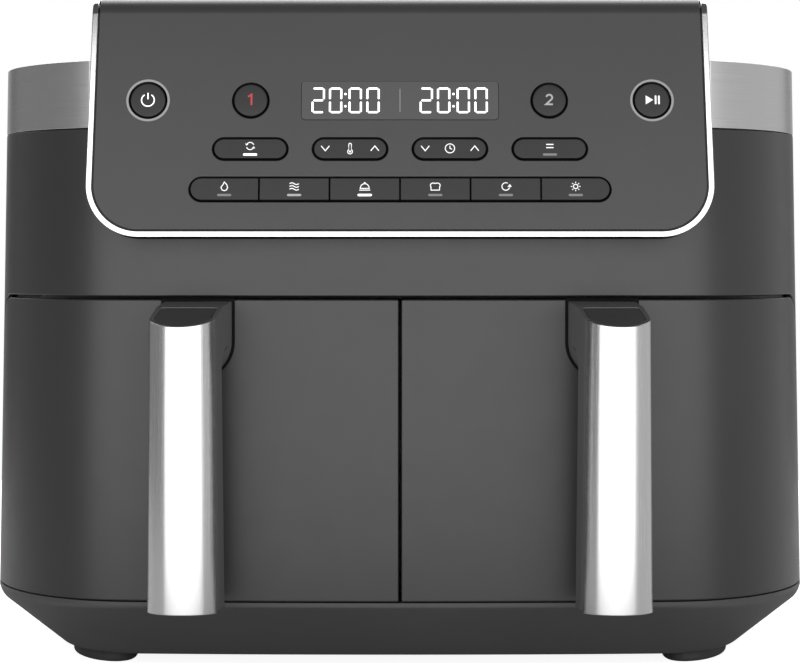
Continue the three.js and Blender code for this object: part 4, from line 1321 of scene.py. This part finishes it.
def root_outline(grow, spare=0):
    """The neck's outline where it meets the drawer: straight sides and a round bottom."""
    half, top = HANDLE_HALF_TOP + ROOT_FLARE + grow, HANDLE_TOP_REAR - CORE_DROP + grow + spare
    underside = arc(0, NECK_BOTTOM, half, NECK_BOTTOM - ROOT_BOTTOM + grow, 180, 360, 30)
    return [(half, top), (-half, top)] + underside


def handle_side():
    """Straight below and behind, with a quarter oval from the bar's back up to the root."""
    front, bottom, top = HANDLE_REACH + 10, HANDLE_BOTTOM + CORE_LIFT, HANDLE_TOP_REAR + 20
    arch = arc(HANDLE_ROOT, ARCH_FOOT, HANDLE_BAR_BACK - HANDLE_ROOT, NECK_BOTTOM - ARCH_FOOT, 90, 0, 24)
    profile = [(front, bottom), (front, top), (HANDLE_ROOT, top)] + arch + [(HANDLE_BAR_BACK, bottom)]
    return prism(profile, -20, 20, ACROSS)


def neck():
    """The neck's root is round underneath; it narrows into the bar. Its top is cut with the bar's."""
    rings = []
    steps = 14
    start, end = HANDLE_ROOT - 0.5, HANDLE_BAR_BACK + 2
    for i in range(steps + 1):
        t = i / steps
        w = start + (end - start) * t
        rings.append([(u * (1 - NECK_TAPER * t), w, v) for u, v in root_outline(0, spare=8)])
    return loft(rings)


def handle_core():
    """The plastic bar, the neck that carries it and the nose inside the steel."""
    bar = common(handle_loft(HANDLE_ROOT - 1, GAP), in_front_of(TRIM_BACK - 0.15), handle_side())
    back = common(join(bar, neck()), under_top(CORE_DROP))
    nose_bottom = HANDLE_BOTTOM + CORE_LIFT + 0.2
    nose = common(
        handle_loft(HANDLE_REACH - HANDLE_NOSE - 1, CORE_SKIN),
        block(-BIG, BIG, -BIG, BIG, nose_bottom, BIG),
        under_top(RIM_DROP + 0.3),
    )
    return cut(join(back, nose), cap_recess())


def handle_shadow_line():
    """The dark line round the neck's root: a thin near-black band, painted shadow where the neck meets the
    drawer.
    """
    return cut(
        prism(root_outline(1.2), HANDLE_ROOT, 6, REARWARD),
        prism(root_outline(-0.2), HANDLE_ROOT - 1, 7, REARWARD),
    )


def cap_outline(inset):
    """The cap's outline in plan: it follows the nose, and is square with round corners at the rear."""
    half = HANDLE_HALF_TOP - CAP_SIDE_INSET - inset
    nose = arc(0, HANDLE_REACH - HANDLE_NOSE, half, HANDLE_NOSE - CAP_NOSE_INSET - inset, 0, 180, 36)
    corner_x, corner_y = half - CAP_CORNER, CAP_REAR + inset + CAP_CORNER
    left = arc(-corner_x, corner_y, CAP_CORNER, CAP_CORNER, 180, 270, 4)
    right = arc(corner_x, corner_y, CAP_CORNER, CAP_CORNER, 270, 360, 4)
    return nose + left + right


def cap_column(inset):
    return prism(cap_outline(inset), 120, NECK_HIGH)


def cap_recess():
    return cut(cap_column(-CAP_FIT), under_top(RECESS_DROP))


def handle_trim():
    """The steel front: a half round shell with a thick rim at its top."""
    back = HANDLE_REACH - HANDLE_NOSE - 1
    whole = common(handle_loft(back, 0), under_top(TRIM_DROP), behind(TRIM_BACK))
    inside = common(handle_loft(back - 1, TRIM_SKIN), under_top(RIM_DROP))
    return cut(whole, inside, cap_column(-CAP_FIT))


def handle_cap():
    return cut(common(cap_column(0), under_top(CAP_DROP)), under_top(CAP_FOOT_DROP))


def drawer_pieces(name, side):
    body = f"{name}_drawer"
    stand_in(drawer_front(side), f"{name}_drawer_front", body, "charcoal_plastic", bevel=0.8)
    stand_in(pan(side), f"{name}_pan", body, "nonstick_coating", bevel=0.5)
    plate_body = f"{name}_plate"
    stand_in(crisper_plate(side), f"{name}_crisper_plate", plate_body, "nonstick_coating", bevel=0.4)
    finish(plate_bumpers(side), f"{name}_plate_bumpers", plate_body, "rubber", bevel=0)
    matrix = handle_frame(side)
    parts = (
        (handle_core(), "handle_core", "handle_plastic", "dark_plastic", 0.5),
        (handle_trim(), "handle_trim", "handle_steel", "brushed_steel", 0.35),
        (handle_cap(), "handle_cap", "dark_plastic", "dark_plastic", 0),
    )
    for piece, part, look, slot, bevel in parts:
        piece.data.transform(matrix)
        if part == "handle_core":
            piece = cut(piece, body_loft(-GAP, NECK_LOW, NECK_HIGH))
        stand_in(piece, f"{name}_{part}", body, look, slot=slot, bevel=bevel)
    # A near-black band round each handle's root: painted shadow.
    shadow_line = handle_shadow_line()
    shadow_line.data.transform(matrix)
    shadow_line = common(shadow_line, body_loft(-SHADOW_LINE_PROUD, NECK_LOW, NECK_HIGH - 10))
    shadow_line = cut(shadow_line, body_loft(0.1, NECK_LOW - 10, NECK_HIGH))
    finish(shadow_line, f"{name}_handle_shadow_line", body, "painted_shade_plastic", slot="dark_plastic", bevel=0)


def housing_pieces():
    # The base tray wears a lighter copy of the housing's plastic: painted light on its chamfer.
    stand_in(
        base_tray(), "base_tray", HOUSING, "lit_base_plastic",
        slot="charcoal_plastic", bevel=0.4, bevel_angle=50,
    )
    # The lip wears a lighter copy of the housing's plastic: painted light.
    finish(base_lip(), "base_lip", HOUSING, "lit_lip_plastic", slot="charcoal_plastic", bevel=0)
    stand_in(main_shell(), "main_shell", HOUSING, "charcoal_plastic", bevel=0.6)
    stand_in(steel_band(), "steel_band", HOUSING, "brushed_steel", bevel=0.35)
    stand_in(top_cover(), "top_cover", HOUSING, "charcoal_plastic", bevel=1.4, segments=4)
    stand_in(rear_vent(), "rear_vent", HOUSING, "dark_plastic", bevel=0.6)
    finish(vent_screen(), "rear_vent_blades", HOUSING, "dark_plastic", bevel=0)
    stand_in(cord_gland(), "cord_gland", HOUSING, "rubber", bevel=0.6)
    for end in ("front", "rear"):
        for name in SIDES:
            stand_in(foot(f"{name}_{end}_foot"), f"{name}_{end}_foot", HOUSING, "rubber", bevel=0)
    finish(vent_screws(), "vent_screws", HOUSING, "motor_metal", bevel=0)


def cad_looks():
    """Gives each CAD node the procedural material of its slot."""
    for node in frame["nodes"].values():
        slot = node.data.materials[0].name.split(".")[0]
        node.data.materials.clear()
        node.data.materials.append(MATERIALS[slot])


# ---------- Stage, light and camera ----------

def area_light(name, place, target, size, radiance):
    """A rectangular soft light of a given radiance, turned towards a target."""
    light = bpy.data.lights.new(name, "AREA")
    light.shape = "RECTANGLE"
    light.size, light.size_y = size
    light.energy = radiance * math.pi * size[0] * size[1]
    lamp = bpy.data.objects.new(name, light)
    lamp.location = place
    lamp.rotation_euler = (Vector(target) - Vector(place)).to_track_quat("-Z", "Y").to_euler()
    lamp.visible_camera = False
    bpy.context.scene.collection.objects.link(lamp)


def stage():
    """A pale floor, white to the camera and a little dimmer as a light."""
    mesh = bpy.data.meshes.new("floor")
    reach, front = 1, -0.43
    corners = [(-reach, front, 0), (reach, front, 0), (reach, reach, 0), (-reach, reach, 0)]
    mesh.from_pydata(corners, [], [(0, 1, 2, 3)])
    floor = bpy.data.objects.new("floor", mesh)
    bpy.context.scene.collection.objects.link(floor)
    nodes = Nodes("floor")
    nodes.mottle(nodes.noise(3, detail=3), grey(0.62), 0.01)
    nodes.rough(nodes.noise(8), 0.7, 0.8)
    nodes.set(Specular_IOR_Level=0.1, Emission_Color=(1, 1, 1, 1))
    path = nodes.add("ShaderNodeLightPath")
    glow = nodes.spread(path.outputs["Is Camera Ray"], 0.04, 0.9, 0, 1)
    nodes.link(glow, nodes.shader.inputs["Emission Strength"])
    mesh.materials.append(nodes.material)


def world():
    """White to the camera and nearly dark as a light."""
    scene_world = bpy.data.worlds.new("studio")
    bpy.context.scene.world = scene_world
    scene_world.use_nodes = True
    tree = scene_world.node_tree
    background = tree.nodes["Background"]
    path = tree.nodes.new("ShaderNodeLightPath")
    strength = tree.nodes.new("ShaderNodeMapRange")
    strength.inputs["To Min"].default_value = 0.08
    strength.inputs["To Max"].default_value = 1.0
    background.inputs["Color"].default_value = (1, 1, 1, 1)
    tree.links.new(path.outputs["Is Camera Ray"], strength.inputs["Value"])
    tree.links.new(strength.outputs["Result"], background.inputs["Strength"])


def lights():
    """Large soft cards: a bright one in front, dimmer ones at the sides and back, and one high up behind."""
    cards = (
        ("front_light", (0, -2.4, 0.36), (0, 0, 0.36), (7.2, 2.72), 2.25),
        ("right_light", (3.3, 1.1, 0.5), (0, 1.1, 0.5), (6.6, 2.6), 0.55),
        ("left_light", (-3.3, 1.1, 0.5), (0, 1.1, 0.5), (6.6, 2.6), 0.18),
        ("back_light", (0, 2.6, 0.2), (0, 0, 0.2), (2.8, 2.0), 0.6),
        ("upper_light", (0, 2.0, 2.5), (0, 0, 0.4), (5.2, 2.6), 3.0),
    )
    for card in cards:
        area_light(*card)


def camera():
    """A long lens a little above the handles, tilted slightly down, with the object filling the frame."""
    tilt = 1.614
    data = bpy.data.cameras.new("camera")
    data.sensor_width = 36
    data.lens = 123.75
    eye = bpy.data.objects.new("camera", data)
    eye.location = (0, -1.38, 0.196)
    eye.rotation_euler = (math.radians(90 - tilt), 0, 0)
    bpy.context.scene.collection.objects.link(eye)
    bpy.context.scene.camera = eye
    bpy.context.scene.view_settings.view_transform = "Standard"


camera()
world()
lights()
stage()
cad_looks()
housing_pieces()
panel_pieces()
legend_pieces()
for side_name, side_sign in SIDES.items():
    drawer_pieces(side_name, side_sign)
